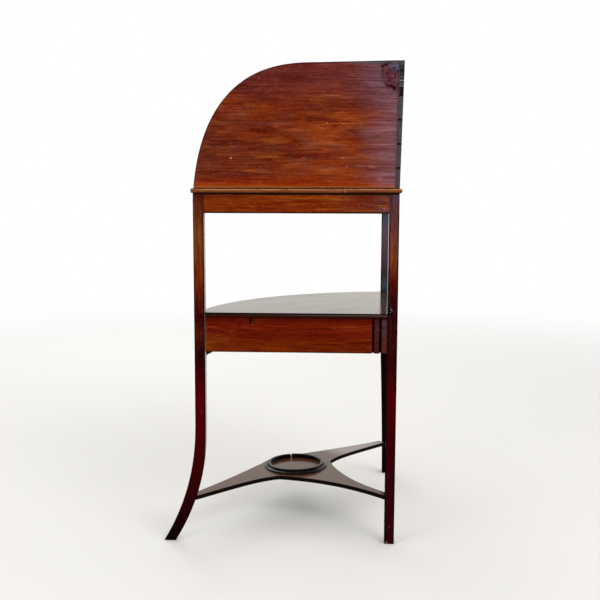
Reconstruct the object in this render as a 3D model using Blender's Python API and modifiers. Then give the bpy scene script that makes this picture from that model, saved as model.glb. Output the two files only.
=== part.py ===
"""Bow-front corner washstand in mahogany, as it comes apart on a bench.

Metres, +Z up. The two straight backs meet at the rear corner (+Y), the bow faces -Y,
and the origin is the middle of the floor under the whole stand.

Places are worked out from the corner. A point on one of the two straight sides is
(along, inward): along the side from the corner, and inward from its outer face.
The right side is +1 and the left side is -1.
"""
import math

import bmesh
import bpy
from mathutils import Matrix

# Fits: the air between seated pieces, how far a cutter runs past its work, a sliding fit
gap = 0.0003
overrun = 0.004
slide_fit = 0.0007
weld_distance = 0.00001

# Plan of the whole stand
side_length = 0.447          # corner to the outer edge of a front leg
bow_centre_back = 0.0656     # the bow is struck from a point this far behind the corner
arc_steps = 24               # straight facets in the whole bow

# Legs
corner_leg_width = 0.0215
leg_width = 0.0239           # front legs, along the side
leg_depth = 0.0176           # front legs, inward
knee_height = 0.275          # the sweep starts here
outer_sweep = 0.0735         # how far the outer edge has run out at the floor
inner_sweep = 0.0715
outer_sweep_power_share = 2.2
inner_sweep_power_share = 2.4
foot_depth = 0.0100
foot_lean = 0.0065           # the foot stands out of the side's plane by this much
leg_steps = 12

# Basin top, its frieze and its bead
top_underside = 0.7816
top_thickness = 0.0124
frieze_height = 0.0407
frieze_thickness = 0.0125
frieze_setback = 0.003       # bow frieze behind the edge of the top
bead_height = 0.0095
bead_projection = 0.0048
bead_end_run = 0.0034        # the side beads run past the front legs
bead_joint = 0.119           # where the right bead is pieced, from the corner
bead_steps = 6
basin_margin = 0.076         # wood left in front of the basin hole
basin_steps = 40
basin_place_share = 0.5396   # the hole's centre, of the way from the corner to the front of the bow
cup_radius = 0.036
cup_steps = 24
cup_web = 0.0286             # wood between a cup hole and the basin hole
cup_turn = -0.3048           # direction from the basin to a cup hole, forward of sideways, in radians

# Gallery boards above the top
gallery_height = 0.2673      # above the top, at the corner
gallery_fall = 0.0030        # the upper edge drops this much before the curve
gallery_flat = 0.180         # from the corner to the start of the curve
gallery_thickness = 0.0095
gallery_end_setback = 0.0015
gallery_lean = 0.0080        # the boards lean back this much at their full height
gallery_curve_depth_share = 1.342
gallery_curve_power_share = 2.645
gallery_curve_steps = 20
pin_first = 0.044            # lowest dovetail pin above the top
pin_pitch = 0.0505
pin_face = 0.0026            # pin width on the outer face
pin_root = 0.0068            # pin width on the inner face
soap_shelf_radius = 0.135
soap_shelf_height = 0.118    # above the top
soap_shelf_thickness = 0.008

# Middle tier: shelf, case and drawer
shelf_top = 0.5233
shelf_thickness = 0.0097
shelf_setback = 0.007
case_setback = 0.0100
case_side_height = 0.0781
case_side_thickness = 0.010
strip_gap = 0.0045           # the two open joints in the right side
strip_widths = (0.0128, 0.0115)
batten_length = 0.052
batten_thickness = 0.008
apron_drop = 0.0115          # the front rail hangs below the case sides
apron_depth = 0.018
runner_height = 0.0100
runner_width = 0.022
guide_width = 0.010
guide_height = 0.014
divider_width = 0.012
divider_depth = 0.016
dummy_thickness = 0.012
drawer_half_width = 0.105
drawer_back_place = 0.142    # from the corner, along the middle line
drawer_front_thickness = 0.017
drawer_side_thickness = 0.008
drawer_side_height = 0.056
drawer_back_thickness = 0.007
drawer_bottom_thickness = 0.0045
drawer_bottom_rise = 0.0035
groove_depth = 0.003
cock_bead_width = 0.0020
cock_bead_depth = 0.006
cock_bead_proud = 0.0010
stop_length = 0.022
stop_width = 0.008
stop_height = 0.0026

# Brass knobs
knob_radius = 0.0095
knob_reach = 0.0225          # from the drawer front to the knob's face
rose_radius = 0.0075
rose_thickness = 0.0016
neck_radius = 0.0036
neck_foot = 0.0019           # heights of the neck's two ends above the drawer front
neck_top = 0.0048
shank_radius = 0.0021
nut_radius = 0.0052
nut_thickness = 0.0032
nut_sides = 6
knob_swing_share = 0.78      # of a half turn, how far the ball runs round to its neck
knob_face_steps = 7
knob_steps = 20

# Stretcher and its ring
stretcher_top = 0.1030       # at the ring
stretcher_rise = 0.0070      # it stands this much higher at the corner leg
stretcher_thickness = 0.0095
ring_ahead = 0.004           # its centre stands before the line between the front arms' ends
ring_radius = 0.079
ring_inner_radius = 0.0625
ring_height = 0.0100
ring_margin = 0.007          # board left around the ring
ring_joint = 0.0030          # the open joint in the bent rim
ring_joint_turn = -2.12      # where the joint stands, from the right, in radians
ring_section_shares = ((0.20, 1.0), (0.44, 0.93), (0.56, 0.72), (0.60, 0.42), (0.86, 0.36),
                       (1.0, 0.18), (1.0, 0), (0, 0), (0, 0.87))
ring_steps = 48
arm_end_width = 0.0220
back_arm_end_width = 0.0186
arm_meeting = 0.040          # from the middle line to where a front arm's front edge meets the ring's board
front_edge_power = 1.25      # powers of the arms' edges: 1 is straight, more is hollower
hollow_tip = (0.085, 0.0365)  # from the ring's centre to where a front arm's hollow edge meets the back arm's
hollow_front_power = 5.5
hollow_back_power = 2.4
bulge_steps = 6
front_edge_steps = 4
hollow_steps = 7

# Glue blocks and screws
block_length = 0.038
block_width = 0.012
block_place_share = 0.46
bow_block_share = 0.45
tenon_length = 0.0060
tenon_shoulder = 0.0035
screw_radius = 0.0017
screw_head_radius = 0.0034
screw_head_height = 0.0022
screw_bite = 0.014           # length held in the gallery board
screw_place_shares = (0.22, 0.76)
screw_steps = 12

# Colours and finish of each timber and metal: linear colour, roughness, metallic
finishes = {
    "faded_mahogany": ((0.22, 0.052, 0.020), 0.35, 0.0),
    "red_mahogany": ((0.130, 0.022, 0.010), 0.32, 0.0),
    "dark_mahogany": ((0.045, 0.008, 0.006), 0.30, 0.0),
    "polished_mahogany": ((0.110, 0.050, 0.038), 0.22, 0.0),
    "ebonised_wood": ((0.010, 0.009, 0.010), 0.25, 0.0),
    "oak_lining": ((0.32, 0.19, 0.09), 0.60, 0.0),
    "pine_block": ((0.40, 0.25, 0.12), 0.70, 0.0),
    "brass": ((0.62, 0.42, 0.16), 0.28, 1.0),
    "iron_screw": ((0.08, 0.075, 0.07), 0.45, 1.0),
}

# Places worked out from the sizes above
half_turn = math.pi
quarter_turn = math.pi / 2
diagonal = math.pi / 4
bow_offset = bow_centre_back / math.sqrt(2)
top_surface = top_underside + top_thickness
gallery_base = top_surface + gap
shelf_underside = shelf_top - shelf_thickness
case_bottom = shelf_underside - case_side_height
apron_bottom = case_bottom - apron_drop
drawer_floor = case_bottom + runner_height


def bow_radius(setback):
    """Radius of a bow that meets the side line this far short of the leg's outer edge."""
    return math.hypot(side_length - setback + bow_offset, bow_offset)


top_radius = bow_radius(0)
shelf_radius = bow_radius(shelf_setback)
case_radius = bow_radius(case_setback)
frieze_radius = top_radius - frieze_setback

# The origin is the middle of the stand's own box, front to back
front_reach = max(case_radius + knob_reach, top_radius + bead_projection) - bow_centre_back
back_reach = max(gallery_lean, bead_projection * math.sqrt(2))
corner_y = (front_reach - back_reach) / 2


def clear_scene():
    """Remove whatever the scene holds, so that the script can run twice."""
    for thing in list(bpy.data.objects):
        bpy.data.objects.remove(thing, do_unlink=True)
    for group in list(bpy.data.collections):
        bpy.data.collections.remove(group)


def new_collection(name):
    group = bpy.data.collections.new(name)
    bpy.context.scene.collection.children.link(group)
    return group


def new_empty(name, parent=None, location=(0, 0, 0), turn=0):
    """A guide that places the pieces parented to it."""
    guide = bpy.data.objects.new(name, None)
    guide.empty_display_size = leg_width
    guide.parent = parent
    guide.location = location
    guide.rotation_euler = (0, 0, turn)
    stand.objects.link(guide)
    return guide


def dress(piece, timber):
    """Give a piece its own material in one of the finishes."""
    colour, roughness, metallic = finishes[timber]
    material = bpy.data.materials.new(f"{piece.name}_{timber}")
    material.use_nodes = True
    shader = material.node_tree.nodes["Principled BSDF"]
    shader.inputs["Base Color"].default_value = (*colour, 1)
    shader.inputs["Roughness"].default_value = roughness
    shader.inputs["Metallic"].default_value = metallic
    material.diffuse_color = (*colour, 1)
    piece.data.materials.clear()
    piece.data.materials.append(material)


def place(name, mesh, parent, timber=None):
    """Put a mesh in the stand, or among the cutters where no timber is named."""
    piece = bpy.data.objects.new(name, mesh)
    piece.parent = parent
    if timber:
        stand.objects.link(piece)
        dress(piece, timber)
        return piece
    cutters.objects.link(piece)
    piece.hide_render = True
    piece.display_type = "WIRE"
    return piece


def weld(mesh):
    """Join the loose caps of a filled shape and point every face outwards."""
    shape = bmesh.new()
    shape.from_mesh(mesh)
    bmesh.ops.remove_doubles(shape, verts=shape.verts, dist=weld_distance)
    bmesh.ops.recalc_face_normals(shape, faces=shape.faces)
    shape.to_mesh(mesh)
    shape.free()


def filled(name, outlines, low, high):
    """Mesh of a flat board: outlines in its own plane, between two levels."""
    outline_curve = bpy.data.curves.new(name, "CURVE")
    outline_curve.dimensions = "2D"
    outline_curve.fill_mode = "BOTH"
    outline_curve.extrude = (high - low) / 2
    for outline in outlines:
        spline = outline_curve.splines.new("POLY")
        spline.points.add(len(outline) - 1)
        for point, (x, y) in zip(spline.points, outline):
            point.co = (x, y, 0, 1)
        spline.use_cyclic_u = True
    guide = bpy.data.objects.new(name, outline_curve)
    cutters.objects.link(guide)
    bpy.context.view_layer.update()
    mesh = bpy.data.meshes.new_from_object(guide.evaluated_get(bpy.context.evaluated_depsgraph_get()))
    bpy.data.objects.remove(guide, do_unlink=True)
    bpy.data.curves.remove(outline_curve)
    mesh.transform(Matrix.Translation((0, 0, (low + high) / 2)))
    weld(mesh)
    return mesh


def plan_board(name, outline, low, high, timber=None, parent=None, holes=()):
    """A board that lies flat: its outline in plan, from the corner, between two heights."""
    mesh = filled(name, [outline, *holes], low, high)
    return place(name, mesh, parent or corner, timber)


def side_board(name, side, outline, outer, inner, timber=None):
    """A board that stands along one side: (along, height) points, between two depths."""
    points = [(side * along, height) for along, height in outline]
    mesh = filled(name, [points], outer, inner)
    mesh.transform(Matrix.Rotation(quarter_turn, 4, "X"))
    return place(name, mesh, sides[side], timber)


def across_board(name, side, outline, start, end, timber=None):
    """A shape carried along one side: (inward, height) points, between two places along it."""
    mesh = filled(name, [outline], start, end)
    mesh.transform(Matrix(((0, 0, side, 0), (-1, 0, 0, 0), (0, 1, 0, 0), (0, 0, 0, 1))))
    weld(mesh)
    return place(name, mesh, sides[side], timber)


def side_block(name, side, along, inward, height, timber=None):
    """A squared block on one side, from its three (low, high) pairs."""
    outline = [(along[0], height[0]), (along[1], height[0]), (along[1], height[1]), (along[0], height[1])]
    return side_board(name, side, outline, inward[0], inward[1], timber)


def turned(name, profile, steps, parent, timber=None, location=(0, 0, 0), rotation=(0, 0, 0)):
    """A turned piece from the (radius, height) points of its outer side, top to bottom."""
    shape = bmesh.new()
    corners = [shape.verts.new((radius, 0, height)) for radius, height in profile]
    for first, second in zip(corners, corners[1:]):
        shape.edges.new((first, second))
    if profile[0][0] > 0:
        shape.edges.new((corners[-1], corners[0]))
    mesh = bpy.data.meshes.new(name)
    shape.to_mesh(mesh)
    shape.free()
    piece = place(name, mesh, parent, timber)
    piece.location = location
    piece.rotation_euler = rotation
    screw = piece.modifiers.new("Turning", "SCREW")
    screw.steps = steps
    screw.render_steps = steps
    screw.use_merge_vertices = True
    screw.merge_threshold = weld_distance
    screw.use_smooth_shade = True
    return piece


def combine(piece, other, operation):
    """Cut, join or intersect a piece with another object, which becomes a guide."""
    modifier = piece.modifiers.new(other.name, "BOOLEAN")
    modifier.operation = operation
    modifier.object = other
    modifier.solver = "EXACT"


def cut(piece, *tools):
    for tool in tools:
        combine(piece, tool, "DIFFERENCE")


def settle(piece):
    """Make a piece's modifiers its own mesh, so that it can be shaped further."""
    bpy.context.view_layer.update()
    mesh = bpy.data.meshes.new_from_object(piece.evaluated_get(bpy.context.evaluated_depsgraph_get()))
    piece.modifiers.clear()
    piece.data = mesh


def spread(first, last, steps):
    return [first + (last - first) * step / steps for step in range(steps + 1)]


def on_side(side, along, inward):
    """Plan point, from the corner, of a place on one side."""
    return side * (along - inward) / math.sqrt(2), -(along + inward) / math.sqrt(2)


def bow_arc(radius, start, end):
    """Plan points along a bow; angles run from the middle line towards the right."""
    steps = max(2, round(arc_steps * abs(end - start) / quarter_turn))
    return [(radius * math.sin(turn), bow_centre_back - radius * math.cos(turn))
            for turn in spread(start, end, steps)]


def at_leg(side):
    """Angle, for each radius, where a bow meets the inner face of a front leg."""
    return lambda radius: side * (diagonal - math.asin((leg_depth + gap + bow_offset) / radius))


def at_x(x):
    """Angle, for each radius, where a bow crosses a line beside the middle line."""
    return lambda radius: math.asin(x / radius)


def bow_piece(name, outer, inner, start, end, low, high, timber=None, parent=None):
    """A curved rail between two radii and two ends."""
    outline = bow_arc(outer, start(outer), end(outer)) + bow_arc(inner, end(inner), start(inner))
    return plan_board(name, outline, low, high, timber, parent)


def circle(centre_x, centre_y, radius, steps):
    return [(centre_x + radius * math.cos(turn), centre_y + radius * math.sin(turn))
            for turn in spread(0, 2 * half_turn, steps)[:-1]]


def stub_tenon(rail, leg, side, along, inward, height):
    """Join a stub tenon to a rail and sink its mortise in the leg."""
    stub = side_block(f"{rail.name}_{leg.name}_tenon", side, along, inward, height)
    combine(rail, stub, "UNION")
    grown = [(low - gap, high + gap) for low, high in (along, inward, height)]
    cut(leg, side_block(f"{rail.name}_{leg.name}_mortise", side, *grown))


def leg_edges(height):
    """Outer and inner edge of a front leg, along its side, at one height."""
    fall = max(0, (knee_height - height) / knee_height)
    outer = side_length + outer_sweep * fall ** outer_sweep_power_share
    inner = side_length - leg_width + inner_sweep * fall ** inner_sweep_power_share
    return outer, inner


def front_leg_shape(name, side, grow, timber=None):
    """A front leg sawn to its sweep along the side, then to its taper across the side."""
    top = top_underside - gap
    heights = [0, *spread(0, knee_height, leg_steps)[1:], top]
    outer_edge = [(leg_edges(height)[0] + grow, height) for height in heights]
    inner_edge = [(leg_edges(height)[1] - grow, height) for height in reversed(heights)]
    leg = side_board(name, side, outer_edge + inner_edge, -foot_lean - grow - overrun,
                     leg_depth + grow + overrun, timber)
    taper = [(-foot_lean - grow, -overrun), (foot_depth - foot_lean + grow, -overrun),
             (foot_depth - foot_lean + grow, 0), (leg_depth + grow, case_bottom),
             (leg_depth + grow, top + overrun), (-grow, top + overrun), (-grow, case_bottom),
             (-foot_lean - grow, 0)]
    combine(leg, across_board(f"{name}_taper", side, taper, side_length - leg_width - overrun,
                              side_length + outer_sweep + overrun), "INTERSECT")
    return leg


def make_legs():
    legs["corner"] = side_block("corner_leg", 1, (0, corner_leg_width), (0, corner_leg_width),
                                (0, top_underside - gap), "dark_mahogany")
    for side, word in hands.items():
        legs[side] = front_leg_shape(f"front_leg_{word}", side, 0, "dark_mahogany")


def make_frieze():
    """Two straight rails and the bow rail under the top, with stub tenons."""
    low = top_underside - frieze_height
    high = top_underside - gap
    tenon_height = (low + tenon_shoulder, high - tenon_shoulder)
    tenon_depth = (tenon_shoulder, frieze_thickness - tenon_shoulder)
    inner_edge = side_length - leg_width
    for side, word in hands.items():
        rail = side_block(f"frieze_{word}", side, (corner_leg_width + gap, inner_edge - gap),
                          (0, frieze_thickness), (low, high), "red_mahogany")
        stub_tenon(rail, legs["corner"], side, (corner_leg_width - tenon_length, corner_leg_width + overrun),
                   tenon_depth, tenon_height)
        stub_tenon(rail, legs[side], side, (inner_edge - overrun, inner_edge + tenon_length),
                   tenon_depth, tenon_height)
    bow = bow_piece("frieze_bow", frieze_radius, frieze_radius - frieze_thickness,
                    at_leg(-1), at_leg(1), low, high, "red_mahogany")
    middle = frieze_radius - frieze_thickness / 2
    for side in hands:
        add_bow_tenon(bow, side, middle, tenon_height)


def add_bow_tenon(rail, side, radius, height):
    """Stub tenon at one end of a bow rail, into the inner face of the front leg."""
    along = math.sqrt(radius ** 2 - (leg_depth + bow_offset) ** 2) - bow_offset
    half = (frieze_thickness - 2 * tenon_shoulder) / 2
    stub_tenon(rail, legs[side], side, (along - half, along + half),
               (leg_depth - tenon_length, leg_depth + overrun), height)


def make_top():
    """Basin top with its three holes, and the bead nailed round its edge."""
    ends = diagonal - math.asin(bow_offset / top_radius)
    outline = [(0, 0), *bow_arc(top_radius, ends, -ends)]
    front = top_radius - bow_centre_back
    basin_y = -basin_place_share * front
    basin_radius = front + basin_y - basin_margin
    cup_reach = basin_radius + cup_web + cup_radius
    holes = [circle(0, basin_y, basin_radius, basin_steps)]
    for side in hands:
        holes.append(circle(side * cup_reach * math.cos(cup_turn), basin_y + cup_reach * math.sin(cup_turn),
                            cup_radius, cup_steps))
    top = plan_board("washtop", outline, top_underside, top_surface, "polished_mahogany", holes=holes)

    low = top_surface - bead_height
    middle = (low + top_surface) / 2
    section = [(-bead_projection * math.sin(turn) - gap, middle + bead_height / 2 * math.cos(turn))
               for turn in spread(0, half_turn, bead_steps)]
    end = side_length + bead_end_run
    runs = {"bead_right_short": (1, -bead_projection - overrun, bead_joint),
            "bead_right_long": (1, bead_joint + gap, end),
            "bead_left": (-1, -bead_projection - overrun, end)}
    mitre_size = bead_projection + 2 * overrun
    for name, (side, start, finish) in runs.items():
        bead = across_board(name, side, section, start, finish, "dark_mahogany")
        if start < 0:
            across = [(-side * mitre_size, -mitre_size), (side * gap / 2, -mitre_size),
                      (side * gap / 2, mitre_size), (-side * mitre_size, mitre_size)]
            cut(bead, plan_board(f"{name}_mitre", across, low - overrun, top_surface + overrun))

    bow_section = [(top_radius - inward, height) for inward, height in section]
    bow = turned("bead_bow", bow_section, 4 * arc_steps, corner, "dark_mahogany", (0, bow_centre_back, 0))
    reach = side_length + bow_centre_back
    quarter = [on_side(1, gap, gap), on_side(1, reach, gap), (0, -2 * reach), on_side(-1, reach, gap)]
    combine(bow, plan_board("bead_bow_quarter", quarter, low - overrun, top_surface + overrun), "INTERSECT")
    return top


def gallery_outline(start):
    """(along, height) points of a gallery board, whose upper edge falls in a full curve."""
    rise = gallery_height - gallery_fall
    reach = side_length - gallery_end_setback - gallery_flat
    depth = rise * gallery_curve_depth_share
    last = math.asin(((depth - rise) / depth) ** (gallery_curve_power_share / 2))
    curve = []
    for turn in spread(quarter_turn, last, gallery_curve_steps):
        across = math.cos(turn) ** (2 / gallery_curve_power_share)
        up = math.sin(turn) ** (2 / gallery_curve_power_share)
        curve.append((gallery_flat + reach * across / end_share(depth, rise),
                      top_surface + rise - depth * (1 - up)))
    end = curve[-1][0]
    return [(start, gallery_base), (end, gallery_base), *reversed(curve[:-1]),
            (start, top_surface + gallery_height)]


def end_share(depth, rise):
    """How far across the full curve has run where it meets the top."""
    return (1 - ((depth - rise) / depth) ** gallery_curve_power_share) ** (1 / gallery_curve_power_share)


def lean_back(piece):
    """Lean a finished gallery piece towards the corner, more the higher it stands."""
    settle(piece)
    bpy.context.view_layer.update()
    to_world = piece.matrix_world.copy()
    slope = gallery_lean / gallery_height
    lean = (Matrix.Translation((0, 0, top_surface)) @ Matrix.Shear("XY", 4, (0, slope))
            @ Matrix.Translation((0, 0, -top_surface)))
    piece.data.transform(to_world.inverted() @ lean @ to_world)


def make_gallery():
    """Two splash boards dovetailed at the corner, and the small soap shelf between them."""
    right = side_board("gallery_right", 1, gallery_outline(gallery_thickness + gap), 0,
                       gallery_thickness, "faded_mahogany")
    left = side_board("gallery_left", -1, gallery_outline(0), 0, gallery_thickness, "faded_mahogany")
    pin_count = 1 + int((gallery_height - pin_first - pin_root) / pin_pitch)
    for number in range(pin_count):
        height = top_surface + pin_first + number * pin_pitch
        for grow, board, operation in ((0, right, "UNION"), (gap, left, "DIFFERENCE")):
            face = pin_face / 2 + grow
            root = pin_root / 2 + grow
            past = overrun if grow else 0
            spill = (root - face) * past / gallery_thickness
            inner = gallery_thickness + grow
            section = [(-past, height - face + spill), (inner, height - root),
                       (inner, height + root), (-past, height + face - spill)]
            name = f"{board.name}_pin_{number + 1}"
            combine(board, across_board(name, 1, section, -past, gallery_thickness + overrun), operation)
    inner = gallery_thickness + gap
    start = on_side(1, inner, inner)
    bend = [on_side(1, inner + soap_shelf_radius * math.sin(turn), inner + soap_shelf_radius * math.cos(turn))
            for turn in spread(quarter_turn, 0, arc_steps)]
    height = top_surface + soap_shelf_height
    soap = plan_board("soap_shelf", [start, *bend], height, height + soap_shelf_thickness, "faded_mahogany")
    for piece in (right, left, soap):
        lean_back(piece)
    return {1: right, -1: left}


def make_gallery_screws(top, boards):
    """Countersunk screws up through the top into the gallery boards."""
    full = top_thickness + screw_bite
    profile = [(0, full), (screw_radius, full), (screw_radius, screw_head_height),
               (screw_head_radius, 0), (0, 0)]
    grown = [(0, full + gap), (screw_radius + gap, full + gap), (screw_radius + gap, screw_head_height + gap),
             (screw_head_radius + 2 * gap, -gap), (screw_head_radius + 2 * gap, -overrun), (0, -overrun)]
    for side, word in hands.items():
        for number, share in enumerate(screw_place_shares, 1):
            name = f"gallery_screw_{word}_{number}"
            place_at = (*on_side(side, share * side_length, gallery_thickness / 2), top_underside)
            hole = turned(f"{name}_hole", grown, screw_steps, corner, None, place_at)
            cut(top, hole)
            cut(boards[side], hole)
            turned(name, profile, screw_steps, corner, "iron_screw", place_at)


def make_shelf():
    """Middle shelf, notched round the three legs."""
    notch = corner_leg_width + gap
    leg_edge = side_length - leg_width - gap
    leg_face = leg_depth + gap
    end = at_leg(1)(shelf_radius)
    outline = [on_side(1, notch, 0), on_side(1, leg_edge, 0), on_side(1, leg_edge, leg_face),
               *bow_arc(shelf_radius, end, -end), on_side(-1, leg_edge, leg_face),
               on_side(-1, leg_edge, 0), on_side(-1, notch, 0), on_side(1, notch, notch)]
    plan_board("shelf", outline, shelf_underside, shelf_top, "polished_mahogany")


def make_case():
    """Sides, front rail, dividers and fixed dummy fronts of the drawer case."""
    heights = (case_bottom, shelf_underside - gap)
    leg_edge = side_length - leg_width - gap
    start = corner_leg_width + gap
    place_along = start
    for number, width in enumerate(strip_widths):
        side_block(f"case_strip_{number + 1}", 1, (place_along, place_along + width),
                   (0, case_side_thickness), heights, "red_mahogany")
        place_along += width + strip_gap
    for side, low in ((1, place_along), (-1, start)):
        side_block(f"case_side_{hands[side]}", side, (low, leg_edge), (0, case_side_thickness),
                   heights, "red_mahogany")
    inner = case_side_thickness + gap
    side_block("case_batten", 1, (start, start + batten_length), (inner, inner + batten_thickness),
               heights, "pine_block")

    apron = bow_piece("front_rail", case_radius, case_radius - apron_depth, at_leg(-1), at_leg(1),
                      apron_bottom, drawer_floor, "red_mahogany")
    for side in hands:
        add_bow_tenon(apron, side, case_radius - apron_depth / 2,
                      (apron_bottom + tenon_shoulder, drawer_floor - tenon_shoulder))

    low = drawer_floor + gap
    high = shelf_underside - gap
    opening = drawer_half_width + slide_fit
    for side, word in hands.items():
        near = at_x(side * opening)
        far = at_x(side * (opening + divider_width))
        past = at_x(side * (opening + divider_width + gap))
        bow_piece(f"divider_{word}", case_radius, case_radius - divider_depth, near, far, low, high,
                  "red_mahogany")
        make_dummy(word, side, past, low, high)


def make_dummy(word, side, start, low, high):
    """A fixed front that looks like a drawer: board, cock bead round it, and its knob."""
    end = at_leg(side)
    border = cock_bead_width + gap
    trim = side * border / case_radius
    inner_radius = case_radius - dummy_thickness
    board = bow_piece(f"dummy_front_{word}", case_radius, inner_radius, lambda radius: start(radius) + trim,
                      lambda radius: end(radius) - trim, low + border, high - border, "red_mahogany")
    frame = bow_piece(f"dummy_bead_{word}", case_radius + cock_bead_proud, inner_radius, start, end,
                      low, high, "dark_mahogany")
    inset = side * cock_bead_width / case_radius
    cut(frame, bow_piece(f"dummy_bead_{word}_window", case_radius + overrun, inner_radius - overrun,
                         lambda radius: start(radius) + inset, lambda radius: end(radius) - inset,
                         low + cock_bead_width, high - cock_bead_width))
    middle = (start(case_radius) + end(case_radius)) / 2
    make_knob(f"dummy_knob_{word}", board, middle, (low + high) / 2, dummy_thickness, corner)


def make_knob(name, board, turn, height, thickness, parent, parent_y=0):
    """A turned brass knob square to the bow, whose shank goes through the board to a nut behind it."""
    x, y = case_radius * math.sin(turn), bow_centre_back - case_radius * math.cos(turn)
    guide = new_empty(f"{name}_axis", parent, (x, y - parent_y, height))
    guide.rotation_euler = (quarter_turn, 0, turn)
    waist = knob_reach - knob_radius
    face = [(knob_radius * math.sin(swing), waist + knob_radius * math.cos(swing))
            for swing in spread(0, half_turn * knob_swing_share, knob_face_steps)]
    shank_end = -(thickness + gap + nut_thickness + gap)
    profile = [*face, (neck_radius, neck_top), (neck_radius, neck_foot), (rose_radius, rose_thickness),
               (rose_radius, gap), (shank_radius, gap),
               (shank_radius, shank_end), (0, shank_end)]
    turned(name, profile, knob_steps, guide, "brass")
    bore = [(0, overrun), (shank_radius + gap, overrun), (shank_radius + gap, -thickness - overrun),
            (0, -thickness - overrun)]
    cut(board, turned(f"{name}_bore", bore, knob_steps, guide))
    top_of_nut = -(thickness + gap)
    thread = (shank_radius + gap) / math.cos(half_turn / nut_sides)
    nut = [(thread, top_of_nut), (nut_radius, top_of_nut), (nut_radius, top_of_nut - nut_thickness),
           (thread, top_of_nut - nut_thickness)]
    turned(f"{name}_nut", nut, nut_sides, guide, "brass")


def make_runners():
    """Runners under the drawer's sides and guides beside it, let in behind the front rail."""
    front = case_radius - apron_depth - gap
    inner_x = drawer_half_width - drawer_side_thickness - (runner_width - guide_width) / 2
    guide_x = drawer_half_width + slide_fit
    heights = (case_bottom, drawer_floor - gap)
    for side, word in hands.items():
        outer_x = guide_x + guide_width
        make_runner(f"drawer_runner_{word}", side, inner_x, outer_x, front, heights)
        behind = case_radius - divider_depth - gap
        make_runner(f"drawer_guide_{word}", side, guide_x, outer_x, behind,
                    (drawer_floor, drawer_floor + guide_height))


def make_runner(name, side, inner_x, outer_x, front, heights):
    """A strip from the front back to the slanting side, with its rear end cut to fit."""
    depth = (case_side_thickness + gap) * math.sqrt(2)
    outline = [(side * inner_x, -inner_x - depth), (side * outer_x, -outer_x - depth),
               *bow_arc(front, math.asin(side * outer_x / front), math.asin(side * inner_x / front))]
    plan_board(name, outline, *heights, "oak_lining")


def make_drawer():
    """The drawer, parented to a guide on its slide axis."""
    slide = new_empty("drawer_slide", corner, (0, drawer_guide_y, 0))
    low = drawer_floor + gap
    high = shelf_underside - 2 * slide_fit
    border = cock_bead_width + gap
    half = drawer_half_width
    inner_radius = case_radius - drawer_front_thickness
    front = drawer_piece("drawer_front", case_radius, inner_radius, half - border,
                         (low + border, high - border), slide, "red_mahogany")
    frame = drawer_piece("drawer_bead", case_radius + cock_bead_proud, case_radius - cock_bead_depth, half,
                         (low, high), slide, "dark_mahogany")
    window = (low + cock_bead_width, high - cock_bead_width)
    cut(frame, drawer_piece("drawer_bead_window", case_radius + overrun, inner_radius, half - cock_bead_width,
                            window, slide))

    side_inner = half - drawer_side_thickness
    rear = -drawer_back_place - drawer_guide_y
    side_top = low + drawer_side_height
    floor_low = low + drawer_bottom_rise
    floor_high = floor_low + drawer_bottom_thickness
    drawer_bottom("drawer_bottom", side_inner + groove_depth, inner_radius + groove_depth, rear,
                  (floor_low, floor_high), slide, "oak_lining")
    groove_reach = groove_depth + gap
    groove = drawer_bottom("drawer_groove", side_inner + groove_reach, inner_radius + groove_reach,
                           rear + overrun, (floor_low - gap, floor_high + gap), slide)
    cut(front, groove)
    for side, word in hands.items():
        front_edge = drawer_arc(inner_radius - gap, side * half, side * side_inner)
        outline = [(side * side_inner, rear), (side * half, rear), *front_edge]
        lining = plan_board(f"drawer_side_{word}", outline, low, side_top, "oak_lining", slide)
        cut(lining, groove)
    edge = side_inner - gap
    inside = rear - drawer_back_thickness
    back = [(-edge, rear), (edge, rear), (edge, inside), (-edge, inside)]
    plan_board("drawer_back", back, floor_high + gap, side_top, "oak_lining", slide)
    make_knob("drawer_knob", front, 0, (low + high) / 2, drawer_front_thickness, slide, drawer_guide_y)


def drawer_arc(radius, first_x, last_x):
    """Bow points between two lines, in the drawer's own frame."""
    arc = bow_arc(radius, math.asin(first_x / radius), math.asin(last_x / radius))
    return [(x, y - drawer_guide_y) for x, y in arc]


def drawer_piece(name, outer, inner, half, heights, slide, timber=None):
    """A bowed slab centred on the middle line, in the drawer's own frame."""
    outline = drawer_arc(outer, -half, half) + drawer_arc(inner, half, -half)
    return plan_board(name, outline, *heights, timber, slide)


def drawer_bottom(name, half, front_radius, rear, heights, slide, timber=None):
    """The thin board that closes the drawer below, bowed at the front."""
    outline = [(-half, rear), *drawer_arc(front_radius, -half, half), (half, rear)]
    return plan_board(name, outline, *heights, timber, slide)


def make_stops():
    """Two small blocks on the front rail that stop the drawer's front."""
    front = case_radius - drawer_front_thickness - slide_fit
    middle = drawer_half_width / 2
    for side, word in hands.items():
        across = [side * (middle - stop_length / 2), side * (middle + stop_length / 2)]
        turns = [math.asin(x / front) for x in across]
        outline = bow_arc(front, *turns) + bow_arc(front - stop_width, *reversed(turns))
        plan_board(f"drawer_stop_{word}", outline, drawer_floor + gap, drawer_floor + gap + stop_height,
                   "oak_lining")


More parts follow.
